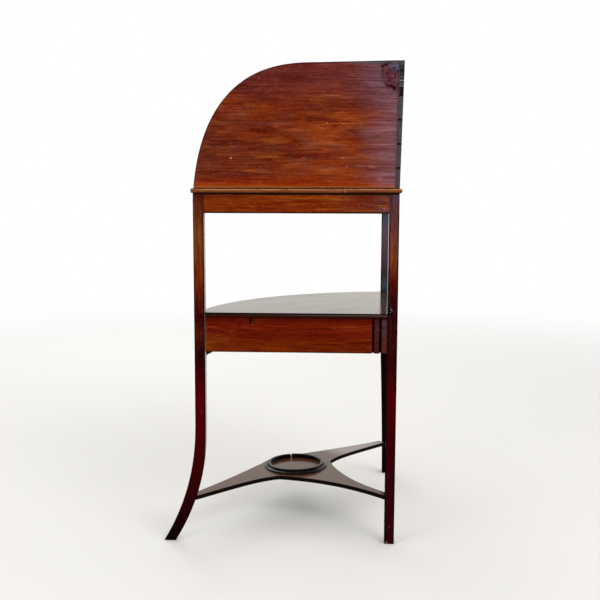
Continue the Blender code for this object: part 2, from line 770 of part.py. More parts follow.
def make_blocks():
    """Softwood glue blocks in the angles under the top and under the shelf."""
    middle = block_place_share * side_length
    along = (middle - block_length / 2, middle + block_length / 2)
    inner = frieze_radius - frieze_thickness - gap
    half = block_length / inner / 2
    high = top_underside - gap
    for side, word in hands.items():
        for name, wall, top in (("top_block", frieze_thickness, top_underside - gap),
                                ("shelf_block", case_side_thickness, shelf_underside - gap)):
            side_block(f"{name}_{word}", side, along, (wall + gap, wall + gap + block_width),
                       (top - block_width, top), "pine_block")
        turn = side * bow_block_share * diagonal
        bow_piece(f"bow_block_{word}", inner, inner - block_width, lambda radius: turn - half,
                  lambda radius: turn + half, high - block_width, high, "pine_block")


def arm_edge(end, tip, axis, power, steps):
    """Points from an arm's end to where its edge meets the next: even along one axis, a power of that across it."""
    points = []
    for step in spread(0, 1, steps):
        share = 1 - (1 - step) ** 2
        shares = [share ** power, share ** power]
        shares[axis] = share
        points.append(tuple(start + (finish - start) * part for start, finish, part in zip(end, tip, shares)))
    return points


def mirrored(points):
    return [(-x, y) for x, y in reversed(points)]


def make_stretcher():
    """Flat three-armed stretcher let against the legs, and the ring that holds the jug's foot."""
    seat = new_empty("stretcher_seat", corner, (0, -ring_centre, stretcher_top))
    seat.rotation_euler = (math.atan2(stretcher_rise, ring_centre), 0, 0)
    front_y = ring_centre - arm_end_place - arm_end_width / 2
    hollow_y = ring_centre - arm_end_place + arm_end_width / 2
    back_end = (back_arm_end_width / 2, ring_centre - corner_leg_width)
    disc = ring_radius + ring_margin
    touch = math.asin(arm_meeting / disc)
    bulge = [(disc * math.sin(turn), -disc * math.cos(turn)) for turn in spread(-touch, touch, bulge_steps)]
    front = arm_edge((front_arm_end, front_y), bulge[-1], 0, front_edge_power, front_edge_steps)
    hollow = arm_edge((front_arm_end, hollow_y), hollow_tip, 0, hollow_front_power, hollow_steps)
    back = arm_edge(back_end, hollow_tip, 1, hollow_back_power, hollow_steps)
    right = [*reversed(front[:-1]), *hollow, *reversed(back[:-1])]
    outline = [*bulge, *right, *mirrored(right)]
    board = plan_board("stretcher", outline, -stretcher_thickness, 0, "polished_mahogany", seat)
    for side, word in hands.items():
        cut(board, front_leg_shape(f"stretcher_notch_{word}", side, gap))
    notch = (-overrun, corner_leg_width + gap)
    cut(board, side_block("stretcher_notch_corner", 1, notch, notch, (0, shelf_underside)))

    width = ring_radius - ring_inner_radius
    profile = [(ring_inner_radius + out * width, gap + up * ring_height) for out, up in ring_section_shares]
    ring = turned("stretcher_ring", profile, ring_steps, seat, "ebonised_wood")
    edge = ring_radius + overrun
    slot = [(edge, -ring_joint / 2), (edge, ring_joint / 2), (0, ring_joint / 2), (0, -ring_joint / 2)]
    tool = plan_board("ring_joint_cut", slot, -overrun, ring_height + overrun, None, seat)
    tool.rotation_euler = (0, 0, ring_joint_turn)
    cut(ring, tool)


clear_scene()
stand = new_collection("corner_washstand")
cutters = new_collection("cutters")
hands = {1: "right", -1: "left"}
legs = {}
drawer_guide_y = bow_centre_back - case_radius
arm_end_place = sum(leg_edges(stretcher_top - stretcher_thickness)) / 2 / math.sqrt(2)
front_arm_end = arm_end_place - arm_end_width / 2
ring_centre = arm_end_place + ring_ahead
corner = new_empty("corner", None, (0, corner_y, 0))
sides = {side: new_empty(f"{word}_side", corner, turn=-side * diagonal) for side, word in hands.items()}

make_legs()
make_frieze()
basin_top = make_top()
make_gallery_screws(basin_top, make_gallery())
make_shelf()
make_case()
make_runners()
make_drawer()
make_stops()
make_blocks()
make_stretcher()
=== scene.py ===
"""Corner washstand: the finished surfaces of a bow-front mahogany stand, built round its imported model.

Metres, +Z up. The two straight sides meet at the rear corner (+Y) and the bow faces -Y.
Right is +X, seen from the bow.
"""

import math

import bmesh
import bpy
import numpy as np
from bpy.props import FloatProperty, FloatVectorProperty, PointerProperty
from mathutils import Matrix, Vector
from mathutils.geometry import tessellate_polygon


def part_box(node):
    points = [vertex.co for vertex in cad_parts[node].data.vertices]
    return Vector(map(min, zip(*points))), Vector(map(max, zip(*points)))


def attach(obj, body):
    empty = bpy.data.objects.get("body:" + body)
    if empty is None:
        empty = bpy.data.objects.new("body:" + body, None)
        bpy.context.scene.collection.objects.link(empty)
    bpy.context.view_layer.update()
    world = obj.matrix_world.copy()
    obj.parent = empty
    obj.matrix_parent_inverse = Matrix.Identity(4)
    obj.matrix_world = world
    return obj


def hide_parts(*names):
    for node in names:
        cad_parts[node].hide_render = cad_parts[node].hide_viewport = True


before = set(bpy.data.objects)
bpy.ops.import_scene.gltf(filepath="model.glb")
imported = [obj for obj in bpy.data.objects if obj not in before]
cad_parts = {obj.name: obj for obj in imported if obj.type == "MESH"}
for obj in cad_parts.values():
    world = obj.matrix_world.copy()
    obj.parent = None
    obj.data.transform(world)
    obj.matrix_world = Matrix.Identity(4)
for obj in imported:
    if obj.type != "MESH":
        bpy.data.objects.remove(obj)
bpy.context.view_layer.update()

bl_info = {
    "name": "Corner washstand",
    "version": (1, 0, 0),
    "blender": (4, 5, 0),
    "location": "View3D > Sidebar > Washstand",
    "description": "Builds the finished surfaces of a bow-front corner washstand",
    "category": "Add Mesh",
}

root2 = math.sqrt(2)
quarter_turn = math.pi / 2
diagonal = math.pi / 4
arris_turns = np.linspace(0, quarter_turn, 5)
sharp_angle = math.radians(40)
least_corner = 0.35
hands = ((1, "right"), (-1, "left"))


def box_of(node):
    """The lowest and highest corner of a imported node, as arrays."""
    low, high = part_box(node)
    return np.array(low), np.array(high)


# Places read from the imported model
post_low, post_high = box_of("corner_leg")
top_low, top_high = box_of("washtop")
shelf_low, shelf_high = box_of("shelf")
side_low, side_high = box_of("case_side_left")
rail_low, rail_high = box_of("front_rail")
frieze_low = box_of("frieze_bow")[0]
gallery_low = box_of("gallery_left")[0]
front_low, front_high = box_of("drawer_front")
bead_low, bead_high = box_of("bead_bow")
corner_y = post_high[1]
post_width = (post_high[0] - post_low[0]) / root2
side_length = top_high[0] * root2

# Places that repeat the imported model's own
gap = 0.0003
bow_back = 0.0656
bow_offset = bow_back / root2
leg_width = 0.0239
leg_depth = 0.0176
foot_depth = 0.0100
foot_lean = 0.0065
knee_height = 0.275
outer_sweep = 0.0735
inner_sweep = 0.0715
outer_sweep_power_share = 2.2
inner_sweep_power_share = 2.4
frieze_thickness = 0.0125
frieze_setback = 0.003
shelf_setback = 0.007
case_setback = 0.010
case_side_thickness = 0.010
strip_gap = 0.0045
strip_widths = (0.0128, 0.0115)
apron_depth = 0.018
divider_width = 0.012
divider_depth = 0.016
dummy_thickness = 0.012
drawer_half_width = 0.105
drawer_side_thickness = 0.008
drawer_front_thickness = 0.017
cock_bead_width = 0.0020
cock_bead_depth = 0.006
cock_bead_proud = 0.0010
slide_fit = 0.0007
bead_projection = 0.0048
bead_joint = 0.119
bead_end_run = 0.0034
gallery_rise = 0.2673
gallery_fall = 0.0030
gallery_flat = 0.180
gallery_thickness = 0.0095
gallery_end_setback = 0.0015
gallery_lean = 0.0080
gallery_curve_depth_share = 1.342
gallery_curve_power_share = 2.645
pin_count = 5
pin_first = 0.044
pin_pitch = 0.0505
pin_face = 0.0026
pin_root = 0.0068
soap_shelf_radius = 0.135
soap_shelf_height = 0.118
soap_shelf_thickness = 0.008
basin_place_share = 0.5396
basin_margin = 0.076
cup_radius = 0.036
cup_web = 0.0286
cup_turn = -0.3048
knob_radius = 0.0095
knob_reach = 0.0225
rose_radius = 0.0075
rose_thickness = 0.0016
neck_radius = 0.0036
shank_radius = 0.0021
stretcher_top = 0.1030
stretcher_rise = 0.0070
stretcher_thickness = 0.0095
ring_ahead = 0.004
ring_radius = 0.079
ring_inner_radius = 0.0625
ring_height = 0.0100
ring_margin = 0.007
ring_joint = 0.0030
ring_joint_turn = -2.12
arm_end_width = 0.0220
back_arm_end_width = 0.0186
arm_meeting = 0.040
front_edge_power = 1.25
hollow_tip = (0.085, 0.0365)
hollow_front_power = 5.5
hollow_back_power = 2.4

# How far wear reaches from the arrises of the smaller pieces, and other small sizes of the finish
pin_wear = 0.0005
thin_wear = 0.0010
stretcher_wear = 0.0012
strip_wear = 0.0015
shelf_wear = 0.0016
small_wear = 0.0020
front_wear = 0.0025
bead_pitch = 0.006
bead_worn_end = 0.012
bead_lift = 0.0008
bead_points = 15
side_bead_waves = ((0.035, 61, 0), (0.03, 143, 1))
bow_bead_waves = ((0.03, 31, 0), (0.03, 77, 0))
knob_grooves = ((0.00045, 0.75, 0.07), (0.0003, 1.9, 0.09))
neck_foot = 0.0024
shank_length = 0.004
floor_reaches = (0.0, 0.7, 1.4, 2.5, 7.0)
floor_drop = 0.0002
floor_fade = (1.0, 4.6)

# The camera's place and aim, fitted to the photograph on the near side's own axes:
# x along the side towards the corner, y away from the camera, z up
camera_place = (-0.12295, -1.83388, 0.78116)
camera_yaw = -0.0492
camera_pitch = 0.1238
camera_roll = 0.0028
camera_focus_share = 846.35 / 600


def linear(code):
    """An sRGB hex colour as the linear values that shaders take."""
    values = [int(code[start:start + 2], 16) / 255 for start in (1, 3, 5)]
    return tuple(value / 12.92 if value <= 0.04045 else ((value + 0.055) / 1.055) ** 2.4 for value in values)


def colour(label, description, code):
    return FloatVectorProperty(name=label, description=description, subtype="COLOR", min=0, max=1,
                               default=linear(code))


def length(label, description, metres):
    return FloatProperty(name=label, description=description, default=metres, min=0, unit="LENGTH",
                         precision=5)


class WashstandSizes(bpy.types.PropertyGroup):
    """Small sizes of the finish, none of which changes the stand's own dimensions."""
    ease: length("Arris", "Radius worn on the edges of boards and legs", 0.0006)
    fine_ease: length("Fine arris", "Radius on small pieces", 0.0004)
    wear_width: length("Wear", "How far wear reaches from an edge", 0.0026)
    ribbon: length("Ribbon", "Width of the broad stripes in the mahogany", 0.024)
    band: length("Band", "Width of the growth bands in the mahogany", 0.0085)
    streak: length("Streak", "Width of the fine streaks in the mahogany", 0.0024)
    pore: length("Pore", "Width of a pore, drawn coarse enough to show", 0.0015)


class WashstandColours(bpy.types.PropertyGroup):
    """The colours that the finish starts from."""
    board: colour("Gallery", "Faded mahogany of the splash boards", "#6c2408")
    rail: colour("Rails", "Orange mahogany of the frieze", "#702402")
    case: colour("Case", "Red mahogany of the drawer case", "#601302")
    top: colour("Tops", "Polished mahogany of the top, shelf and stretcher", "#4a2616")
    ebony: colour("Ebonised", "Black stained wood", "#0b0a0b")
    oak: colour("Oak", "Bare oak of the drawer's lining", "#93704a")
    pine: colour("Pine", "Bare pine of the glue blocks", "#a8804f")
    brass: colour("Brass", "Turned brass of the knobs", "#b08d4c")
    iron: colour("Iron", "Old screws", "#4a4644")


# Surfaces, as arrays of points and lists of faces


def grid_faces(rows, columns, first=0, closed=False):
    """Quads of a grid whose columns close on themselves; closed also joins the last row to the first."""
    row = np.arange(rows if closed else rows - 1)[:, None]
    column = np.arange(columns)[None, :]
    after = (column + 1) % columns
    above = (row + 1) % rows
    corners = (row * columns + column, row * columns + after, above * columns + after,
               above * columns + column)
    return (np.stack(np.broadcast_arrays(*corners), -1).reshape(-1, 4) + first).tolist()


def closing_faces(loops, firsts):
    """Triangles that close the flat space inside the first loop and outside the others."""
    flat = [[Vector((float(x), float(y), 0)) for x, y in loop] for loop in loops]
    numbers = np.concatenate([first + np.arange(len(loop)) for loop, first in zip(loops, firsts)])
    return [[int(numbers[corner]) for corner in face] for face in tessellate_polygon(flat)]


def joined(*parts):
    """Several (points, faces, wear) surfaces as one."""
    points, faces, wear, first = [], [], [], 0
    for part_points, part_faces, part_wear in parts:
        points.append(part_points)
        faces.extend([corner + first for corner in face] for face in part_faces)
        wear.append(part_wear)
        first += len(part_points)
    return np.concatenate(points), faces, np.concatenate(wear)


def squared_rings(low, high, radius, margin):
    """Rounded rectangles, one a row, between opposite corners low and high.

    Each corner is a quarter circle, and each side carries two more points, `margin` past the
    corners' ends, where the wear stops. Returns points (rows, n, 2) and each point's wear (n,)."""
    size = high - low
    rings, wear = [], []
    for number, signs in enumerate(((-1, -1), (1, -1), (1, 1), (-1, 1))):
        signs = np.array(signs)
        corner = np.where(signs > 0, high, low)
        centre = corner - signs * radius[:, None]
        swing = math.pi + number * quarter_turn + arris_turns
        arc = np.stack([np.cos(swing), np.sin(swing)], 1)
        rings.append(centre[:, None] + radius[:, None, None] * arc[None])
        axis = number % 2
        along = np.zeros(2)
        along[axis] = 1 if number < 2 else -1
        side = size[:, axis]
        reach = np.minimum(radius + margin, side * 0.4)
        rings.append((corner + along * reach[:, None])[:, None])
        rings.append((corner + along * (side - reach)[:, None])[:, None])
        wear += [1] * len(arris_turns) + [0, 0]
    return np.concatenate(rings, 1), np.array(wear, float)


def bar(stations, low, high, ease, margin, end_ease=None, end_worn=1.0):
    """A squared bar: opposite corners of its section at each station along it.

    At both ends the section draws in by the ease along a quarter circle:
    in = ease (1 - sin a), along = ease (1 - cos a). end_worn is the wear of its end arrises.
    Returns points (station, x, y)."""
    stations = np.asarray(stations, float)
    low = np.broadcast_to(np.asarray(low, float), (len(stations), 2))
    high = np.broadcast_to(np.asarray(high, float), (len(stations), 2))
    end_ease = ease if end_ease is None else end_ease
    margin = min(margin, abs(stations[-1] - stations[0]) * 0.3)
    drawn = end_ease * (1 - np.sin(arris_turns))
    risen = end_ease * (1 - np.cos(arris_turns))
    start = stations[0] + np.concatenate([[0], risen, [end_ease + margin]])
    finish = stations[-1] - np.concatenate([[0], risen, [end_ease + margin]])[::-1]
    inside = stations[(stations > start[-1] + 1e-6) & (stations < finish[0] - 1e-6)]
    places = np.concatenate([start, inside, finish])
    ends = np.concatenate([[end_ease + margin], drawn, [0]])
    inset = np.concatenate([ends, np.zeros(len(inside)), ends[::-1]])
    end_wear = np.concatenate([[0], np.full(len(arris_turns), end_worn), [0]])
    row_wear = np.concatenate([end_wear, np.zeros(len(inside)), end_wear[::-1]])
    lows = np.stack([np.interp(places, stations, low[:, axis]) for axis in (0, 1)], 1)
    highs = np.stack([np.interp(places, stations, high[:, axis]) for axis in (0, 1)], 1)
    inset = np.minimum(inset, (highs - lows).min(1) * 0.45)
    lows, highs = lows + inset[:, None], highs - inset[:, None]
    rings, wear = squared_rings(lows, highs, np.maximum(ease - inset, 0), margin)
    count = rings.shape[1]
    points = np.concatenate([np.repeat(places, count)[:, None], rings.reshape(-1, 2)], 1)
    inner_rows = np.isin(np.arange(len(places)), (0, len(places) - 1))
    all_wear = np.where(inner_rows[:, None], 0, np.maximum(row_wear[:, None], wear[None])).ravel()
    faces = grid_faces(len(places), count)
    for row in (0, len(places) - 1):
        faces += closing_faces([rings[row]], [row * count])
    return points, faces, all_wear


def inset_loop(loop, distance):
    """The loop moved into its left side: each point goes along the mitre of its two edges."""
    edges = np.roll(loop, -1, 0) - loop
    edges /= np.linalg.norm(edges, axis=1, keepdims=True)
    after = np.stack([-edges[:, 1], edges[:, 0]], 1)
    before = np.roll(after, 1, 0)
    mitre = (before + after) / (1 + (before * after).sum(1, keepdims=True))
    return loop + distance * mitre


def wound(loop, inside_left=True):
    """The loop with its inside on the left, or on the right for a hole."""
    x, y = np.asarray(loop, float).T
    area = (x * np.roll(y, -1) - np.roll(x, -1) * y).sum()
    return np.asarray(loop, float)[:: 1 if (area > 0) == inside_left else -1]


def softened(points, radius):
    """A closed outline whose corners that turn by more than least_corner are arcs of the radius."""
    points = np.asarray(points, float)
    result = []
    for before, corner, after in zip(np.roll(points, 1, 0), points, np.roll(points, -1, 0)):
        inward = (before - corner) / np.linalg.norm(before - corner)
        outward = (after - corner) / np.linalg.norm(after - corner)
        half = math.acos(float(np.clip(inward @ outward, -1, 1))) / 2
        if quarter_turn - half < least_corner / 2:
            result.append(corner)
            continue
        reach = radius / math.tan(half)
        middle = (inward + outward) / np.linalg.norm(inward + outward)
        centre = corner + middle * radius / math.sin(half)
        first, last = corner + inward * reach - centre, corner + outward * reach - centre
        for share in np.linspace(0, 1, 5):
            spoke = first * (1 - share) + last * share
            result.append(centre + spoke / np.linalg.norm(spoke) * radius)
    return np.array(result)


def board(outline, low, high, ease, margin, holes=()):
    """A flat board between two levels, with its arrises eased round the outline and every hole.

    The side of the board is a stack of copies of each loop, moved in by ease (1 - sin a) at
    ease (1 - cos a) from each face, and the faces are closed inside them."""
    band = min(margin, (high - low) * 0.25)
    drawn = np.concatenate([[ease + margin], ease * (1 - np.sin(arris_turns)), [0]])
    risen = np.concatenate([[0], ease * (1 - np.cos(arris_turns)), [ease + band]])
    insets = np.concatenate([drawn, drawn[::-1]])
    levels = np.concatenate([low + risen, (high - risen)[::-1]])
    worn = np.concatenate([[0], np.ones(len(arris_turns)), [0]])
    worn = np.concatenate([worn, worn[::-1]])
    loops = [wound(outline)] + [wound(hole, False) for hole in holes]
    points, faces, wear, first = [], [], [], 0
    lower, upper, firsts = [], [], []
    for loop in loops:
        rings = np.stack([inset_loop(loop, inset) for inset in insets])
        count = len(loop)
        points.append(np.concatenate([rings.reshape(-1, 2), np.repeat(levels, count)[:, None]], 1))
        faces += grid_faces(len(levels), count, first)
        wear.append(np.repeat(worn, count))
        lower.append(rings[0])
        upper.append(rings[-1])
        firsts.append(first)
        first += len(levels) * count
    faces += closing_faces(lower, firsts)
    last = len(levels) - 1
    faces += closing_faces(upper, [start + last * len(loop) for start, loop in zip(firsts, loops)])
    return np.concatenate(points), faces, np.concatenate(wear)


def turned(profile, steps):
    """A profile of (radius, height) points carried round Z, from the axis back to the axis."""
    profile = np.asarray(profile, float)
    turn = np.linspace(0, 2 * math.pi, steps, endpoint=False)
    radius, height = profile[:, :1], profile[:, 1:]
    rings = np.stack([radius * np.cos(turn), radius * np.sin(turn), height + 0 * turn], -1)
    return rings.reshape(-1, 3), grid_faces(len(profile), steps), np.zeros(rings.size // 3)


def carried(sections, places):
    """Closed sections (rows, n, 2), each set at its own place along the piece, with both ends closed."""
    rows, count = sections.shape[:2]
    places = np.broadcast_to(np.asarray(places, float).reshape(rows, -1), (rows, count))
    points = np.concatenate([places.reshape(-1, 1), sections.reshape(-1, 2)], 1)
    faces = grid_faces(rows, count)
    for row in (0, rows - 1):
        faces += closing_faces([sections[row]], [row * count])
    return points, faces, np.zeros(len(points))


def rim(outline, section):
    """A closed moulding: section points (in from the outline, depth) carried round a closed outline."""
    loop = wound(outline)
    rings = np.stack([inset_loop(loop, inward) for inward in section[:, 0]], 1)
    depth = np.broadcast_to(section[:, 1], rings.shape[:2])
    points = np.concatenate([rings.reshape(-1, 2), depth.reshape(-1, 1)], 1)
    return points, grid_faces(len(loop), len(section), 0, True), np.ones(len(points)) * 0.6


# Places: local points to the stand's own frame


def on_side(side):
    """(along from the corner, inward from the outer face, height) on one straight side."""
    def place(points):
        along, inward, height = points.T
        return np.stack([side * (along - inward) / root2, corner_y - (along + inward) / root2, height], 1)
    return place


def upright(side):
    """(height, along, inward): for pieces worked out from the floor up."""
    return lambda points: on_side(side)(points[:, [1, 2, 0]])


def standing(side):
    """(along, height, inward): for boards whose outline stands on edge."""
    return lambda points: on_side(side)(points[:, [0, 2, 1]])


def on_bow(radius):
    """(arc length at a radius, radius, height) round the bow's centre, from the middle line."""
    def place(points):
        turn, reach, height = points[:, 0] / radius, points[:, 1], points[:, 2]
        return np.stack([reach * np.sin(turn), corner_y + bow_back - reach * np.cos(turn), height], 1)
    return place


def face_on_bow(radius):
    """(arc length, height, depth behind the radius): for the faces of bowed boards."""
    return lambda points: on_bow(radius)(np.stack([points[:, 0], radius - points[:, 2], points[:, 1]], 1))


def flat(points):
    """(x, y from the corner, height): for boards that lie flat."""
    return points + np.array([0, corner_y, 0])


def leaned(place):
    """A place on the gallery, which leans towards the corner the higher it stands."""
    def lean(points):
        world = place(points)
        world[:, 1] += (world[:, 2] - top_high[2]) * gallery_lean / gallery_rise
        return world
    return lean


def bow_radius(setback):
    return math.hypot(side_length - setback + bow_offset, bow_offset)


top_radius = bow_radius(0)
shelf_radius = bow_radius(shelf_setback)
case_radius = bow_radius(case_setback)
frieze_radius = top_radius - frieze_setback
rail_middle = case_radius - apron_depth / 2


def leg_reach(radius):
    """Angle, from the middle line, where a bow meets the inner face of a front leg."""
    return diagonal - math.asin((leg_depth + gap + bow_offset) / radius)


def leg_edges(height):
    """Outer and inner edge of a front leg along its side: both sweep out below the knee."""
    fall = np.maximum(0, (knee_height - height) / knee_height)
    outer = side_length + outer_sweep * fall ** outer_sweep_power_share
    inner = side_length - leg_width + inner_sweep * fall ** inner_sweep_power_share
    return outer, inner


arm_end_place = sum(leg_edges(np.array(stretcher_top - stretcher_thickness))) / 2 / root2
ring_centre = arm_end_place + ring_ahead


def on_seat(points):
    """(x, y from the ring's centre, height above the stretcher), on its slight slope."""
    tilt = math.atan2(stretcher_rise, ring_centre)
    x, y, z = points.T
    turned_y = y * math.cos(tilt) - z * math.sin(tilt)
    turned_z = y * math.sin(tilt) + z * math.cos(tilt)
    return np.stack([x, corner_y - ring_centre + turned_y, stretcher_top + turned_z], 1)


def corner_line(side, along, inward):
    """Plan points, from the corner, of places on one straight side."""
    return [side * (along - inward) / root2, -(along + inward) / root2]


def bow_line(radius, start, finish, steps):
    turn = np.linspace(start, finish, steps + 1)
    return np.stack([radius * np.sin(turn), bow_back - radius * np.cos(turn)], 1)


def circle(x, y, radius, steps):
    turn = np.linspace(0, 2 * math.pi, steps, endpoint=False)
    return np.stack([x + radius * np.cos(turn), y + radius * np.sin(turn)], 1)


# Grain: (along the grain, across the face, through the board), read by the wood materials


face_grain = (0, 1, 2)
along_grain = (0, 2, 1)
cross_grain = (1, 2, 0)
rising_grain = (2, 0, 1)
grain_step = np.array([0.731, 0.417, 0.269])
rail_seed = 11
stretcher_seed = 16


def close_mesh(mesh):
    """Merge the points that lie together, and turn every face outwards."""
    shell = bmesh.new()
    shell.from_mesh(mesh)
    bmesh.ops.remove_doubles(shell, verts=shell.verts, dist=1e-6)
    bmesh.ops.dissolve_degenerate(shell, edges=shell.edges, dist=1e-7)
    bmesh.ops.recalc_face_normals(shell, faces=shell.faces)
    shell.to_mesh(mesh)
    shell.free()


def make_piece(name, surface, place, grain, finish, node=None, body="carcase", seed=0):
    """One finished piece: its surface placed in the stand, with its grain and wear kept on its points.

    The grain takes the local columns in the order given, moved on by the seed so that no two boards match."""
    points, faces, wear = surface
    mesh = bpy.data.meshes.new(name)
    mesh.from_pydata(place(points), [], faces)
    grain_places = points[:, grain] + seed * grain_step
    for label, kind, field, values in (("grain", "FLOAT_VECTOR", "vector", grain_places),
                                       ("wear", "FLOAT", "value", wear)):
        layer = mesh.attributes.new(label, kind, "POINT")
        layer.data.foreach_set(field, values.astype(np.float32).ravel())
    close_mesh(mesh)
    mesh.shade_smooth()
    mesh.set_sharp_from_angle(angle=sharp_angle)
    mesh.materials.append(finish_of(finish))
    piece = bpy.data.objects.new(name, mesh)
    bpy.context.scene.collection.objects.link(piece)
    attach(piece, body)
    if node:
        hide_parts(node)


def dress_nodes(finish, *names):
    """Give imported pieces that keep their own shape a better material."""
    for name in names:
        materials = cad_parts[name].data.materials
        materials.clear()
        materials.append(finish_of(finish))


# Materials


def plain(tone):
    """Three linear values of a colour, from its sRGB hex or from values that are linear already."""
    return linear(tone) if isinstance(tone, str) else tuple(tone)[:3]


def add_node(tree, kind, feeds=None, out=None, stops=(), **settings):
    """One node with its settings and links; returns it, or its output `out`.

    feeds gives each input a value or the socket that feeds it, and stops gives a colour ramp its colours."""
    made = tree.nodes.new(kind)
    for name, value in settings.items():
        setattr(made, name, value)
    for name, value in (feeds or {}).items():
        socket = made.inputs[name]
        if isinstance(value, bpy.types.NodeSocket):
            tree.links.new(value, socket)
        elif socket.type == "RGBA":
            socket.default_value = (*plain(value), 1)
        else:
            socket.default_value = plain(value) if socket.type == "VECTOR" else value
    for number, (place, tone) in enumerate(stops):
        elements = made.color_ramp.elements
        element = elements[number] if number < len(elements) else elements.new(place)
        element.position = place
        element.color = (*plain(tone), 1)
    return made if out is None else made.outputs[out]


def toned(tone, brightness):
    """A colour made lighter or darker."""
    return [value * brightness for value in plain(tone)]


def stepped(value, start, finish, low=0.0, high=1.0):
    """What a range node needs for a smooth step from low at start to high at finish."""
    if start > finish:
        start, finish, low, high = finish, start, high, low
    return {"Value": value, "From Min": start, "From Max": finish, "To Min": low, "To Max": high}


class Wood:
    """A timber, built up as a polisher would: body colour, figure, stains and marks, wear, polish."""

    def __init__(self, name, sizes, body, source="grain"):
        self.material = bpy.data.materials.new(name)
        self.material.use_nodes = True
        tree = self.tree = self.material.node_tree
        tree.nodes.clear()
        self.sizes = sizes
        self.colour = body
        if source == "grain":
            self.grain = add_node(tree, "ShaderNodeAttribute", out="Vector", attribute_name="grain")
        else:
            self.grain = add_node(tree, "ShaderNodeTexCoord", out="Object")
        self.axes = add_node(tree, "ShaderNodeSeparateXYZ", {0: self.grain}).outputs
        drift = add_node(tree, "ShaderNodeMapping", {"Vector": self.grain, "Scale": (5, 9, 9)}, 0)
        sway = add_node(tree, "ShaderNodeTexNoise", {"Vector": drift, "Scale": 1.0, "Detail": 2.0}, 1)
        self.figure = add_node(tree, "ShaderNodeVectorMath", {0: sway, 1: (0.0, 0.012, 0.012), 2: self.grain},
                               0, operation="MULTIPLY_ADD")
        self.cloud = self.patches(0.15, 0.075)

    def patches(self, long, wide, detail=3.0, vector=None):
        """Noise whose patches are so many metres long along the grain and wide across it."""
        feeds = {"Vector": vector or self.grain, "Scale": (1 / long, 1 / wide, 1 / wide)}
        scaled = add_node(self.tree, "ShaderNodeMapping", feeds, 0)
        feeds = {"Vector": scaled, "Scale": 1.0, "Detail": detail, "Roughness": 0.55}
        return add_node(self.tree, "ShaderNodeTexNoise", feeds, 0)

    def zone(self, value, start, finish, ragged=0.0, within=1.0):
        """A mask that grows from 0 at start to `within` at finish along a grain axis, with a ragged border.

        The cloudy noise, whose middle is 0.5, pushes the border to and fro by up to `ragged`."""
        if isinstance(value, int):
            value = self.axes[value]
        if ragged:
            value = add_node(self.tree, "ShaderNodeMath", {0: self.cloud, 1: ragged * 4, 2: value}, 0,
                             operation="MULTIPLY_ADD")
            start, finish = start + ragged * 2, finish + ragged * 2
        return add_node(self.tree, "ShaderNodeMapRange", stepped(value, start, finish, 0.0, within), 0,
                        interpolation_type="SMOOTHSTEP")

    def facing(self, start, finish, toward=(0, 0, 1)):
        """A mask of the faces whose normal's part towards a direction, upwards if none is given, is past
        start, full at finish: 1 is straight towards it."""
        normal = add_node(self.tree, "ShaderNodeNewGeometry", out="Normal")
        part = add_node(self.tree, "ShaderNodeVectorMath", {0: normal, 1: toward}, "Value",
                        operation="DOT_PRODUCT")
        return self.zone(part, start, finish)

    def stain(self, value, start, finish, tone, strength=1.0, ragged=0.0, within=1.0):
        """Lay a colour over what a zone marks: none of it at start, all of it at finish."""
        return self.tint(self.zone(value, start, finish, ragged, within), tone, strength)

    def tint(self, mask, tone, strength=1.0):
        """Lay a colour over the wood where the mask is 1."""
        factor = add_node(self.tree, "ShaderNodeMath", {0: mask, 1: strength}, 0, operation="MULTIPLY")
        self.colour = add_node(self.tree, "ShaderNodeMix", {0: factor, 6: self.colour, 7: tone}, 2,
                               data_type="RGBA")
        return self

    def figured(self, depth=1.0, pores=0.5):
        """The figure: broad ribbons, bands and fine streaks that run from a dark red to a lighter orange.

        Each is noise stretched along the grain; they are added, turned into a tint by a ramp whose
        middle is white, and multiplied into the body colour. Pores are short dark flecks."""
        tree, sizes = self.tree, self.sizes
        total = 0.0
        for long, wide, weight in ((0.22, sizes.ribbon, 0.22), (0.09, sizes.band, 0.26),
                                   (0.09, sizes.streak, 0.52)):
            feeds = {0: self.patches(long, wide, 3.0, self.figure), 1: weight, 2: total}
            total = add_node(tree, "ShaderNodeMath", feeds, 0, operation="MULTIPLY_ADD")
        dark = (1 - 0.38 * depth, 1 - 0.62 * depth, 1 - 0.66 * depth)
        light = (0.62 + 0.26 * depth, 0.62 + 0.60 * depth, 0.62 + 0.80 * depth)
        stops = ((0.385, [0.62 * part for part in dark]), (0.50, (0.62, 0.62, 0.62)), (0.615, light))
        tinted = add_node(tree, "ShaderNodeValToRGB", {0: total}, 0, stops)
        even = add_node(tree, "ShaderNodeVectorMath", {0: tinted, "Scale": 1 / 0.62}, 0, operation="SCALE")
        self.colour = add_node(tree, "ShaderNodeVectorMath", {0: even, 1: self.colour}, 0,
                               operation="MULTIPLY")
        self.pores = self.zone(self.patches(0.009, sizes.pore, 2.0, self.figure), 0.54, 0.70)
        thin = add_node(tree, "ShaderNodeVectorMath", {0: self.colour, "Scale": 0.45}, 0, operation="SCALE")
        return self.tint(self.pores, thin, pores)

    def flecked(self, tone, strength):
        """Pale flecks along the grain."""
        return self.stain(self.patches(0.012, 0.0017, 2.0, self.figure), 0.52, 0.72, tone, strength)

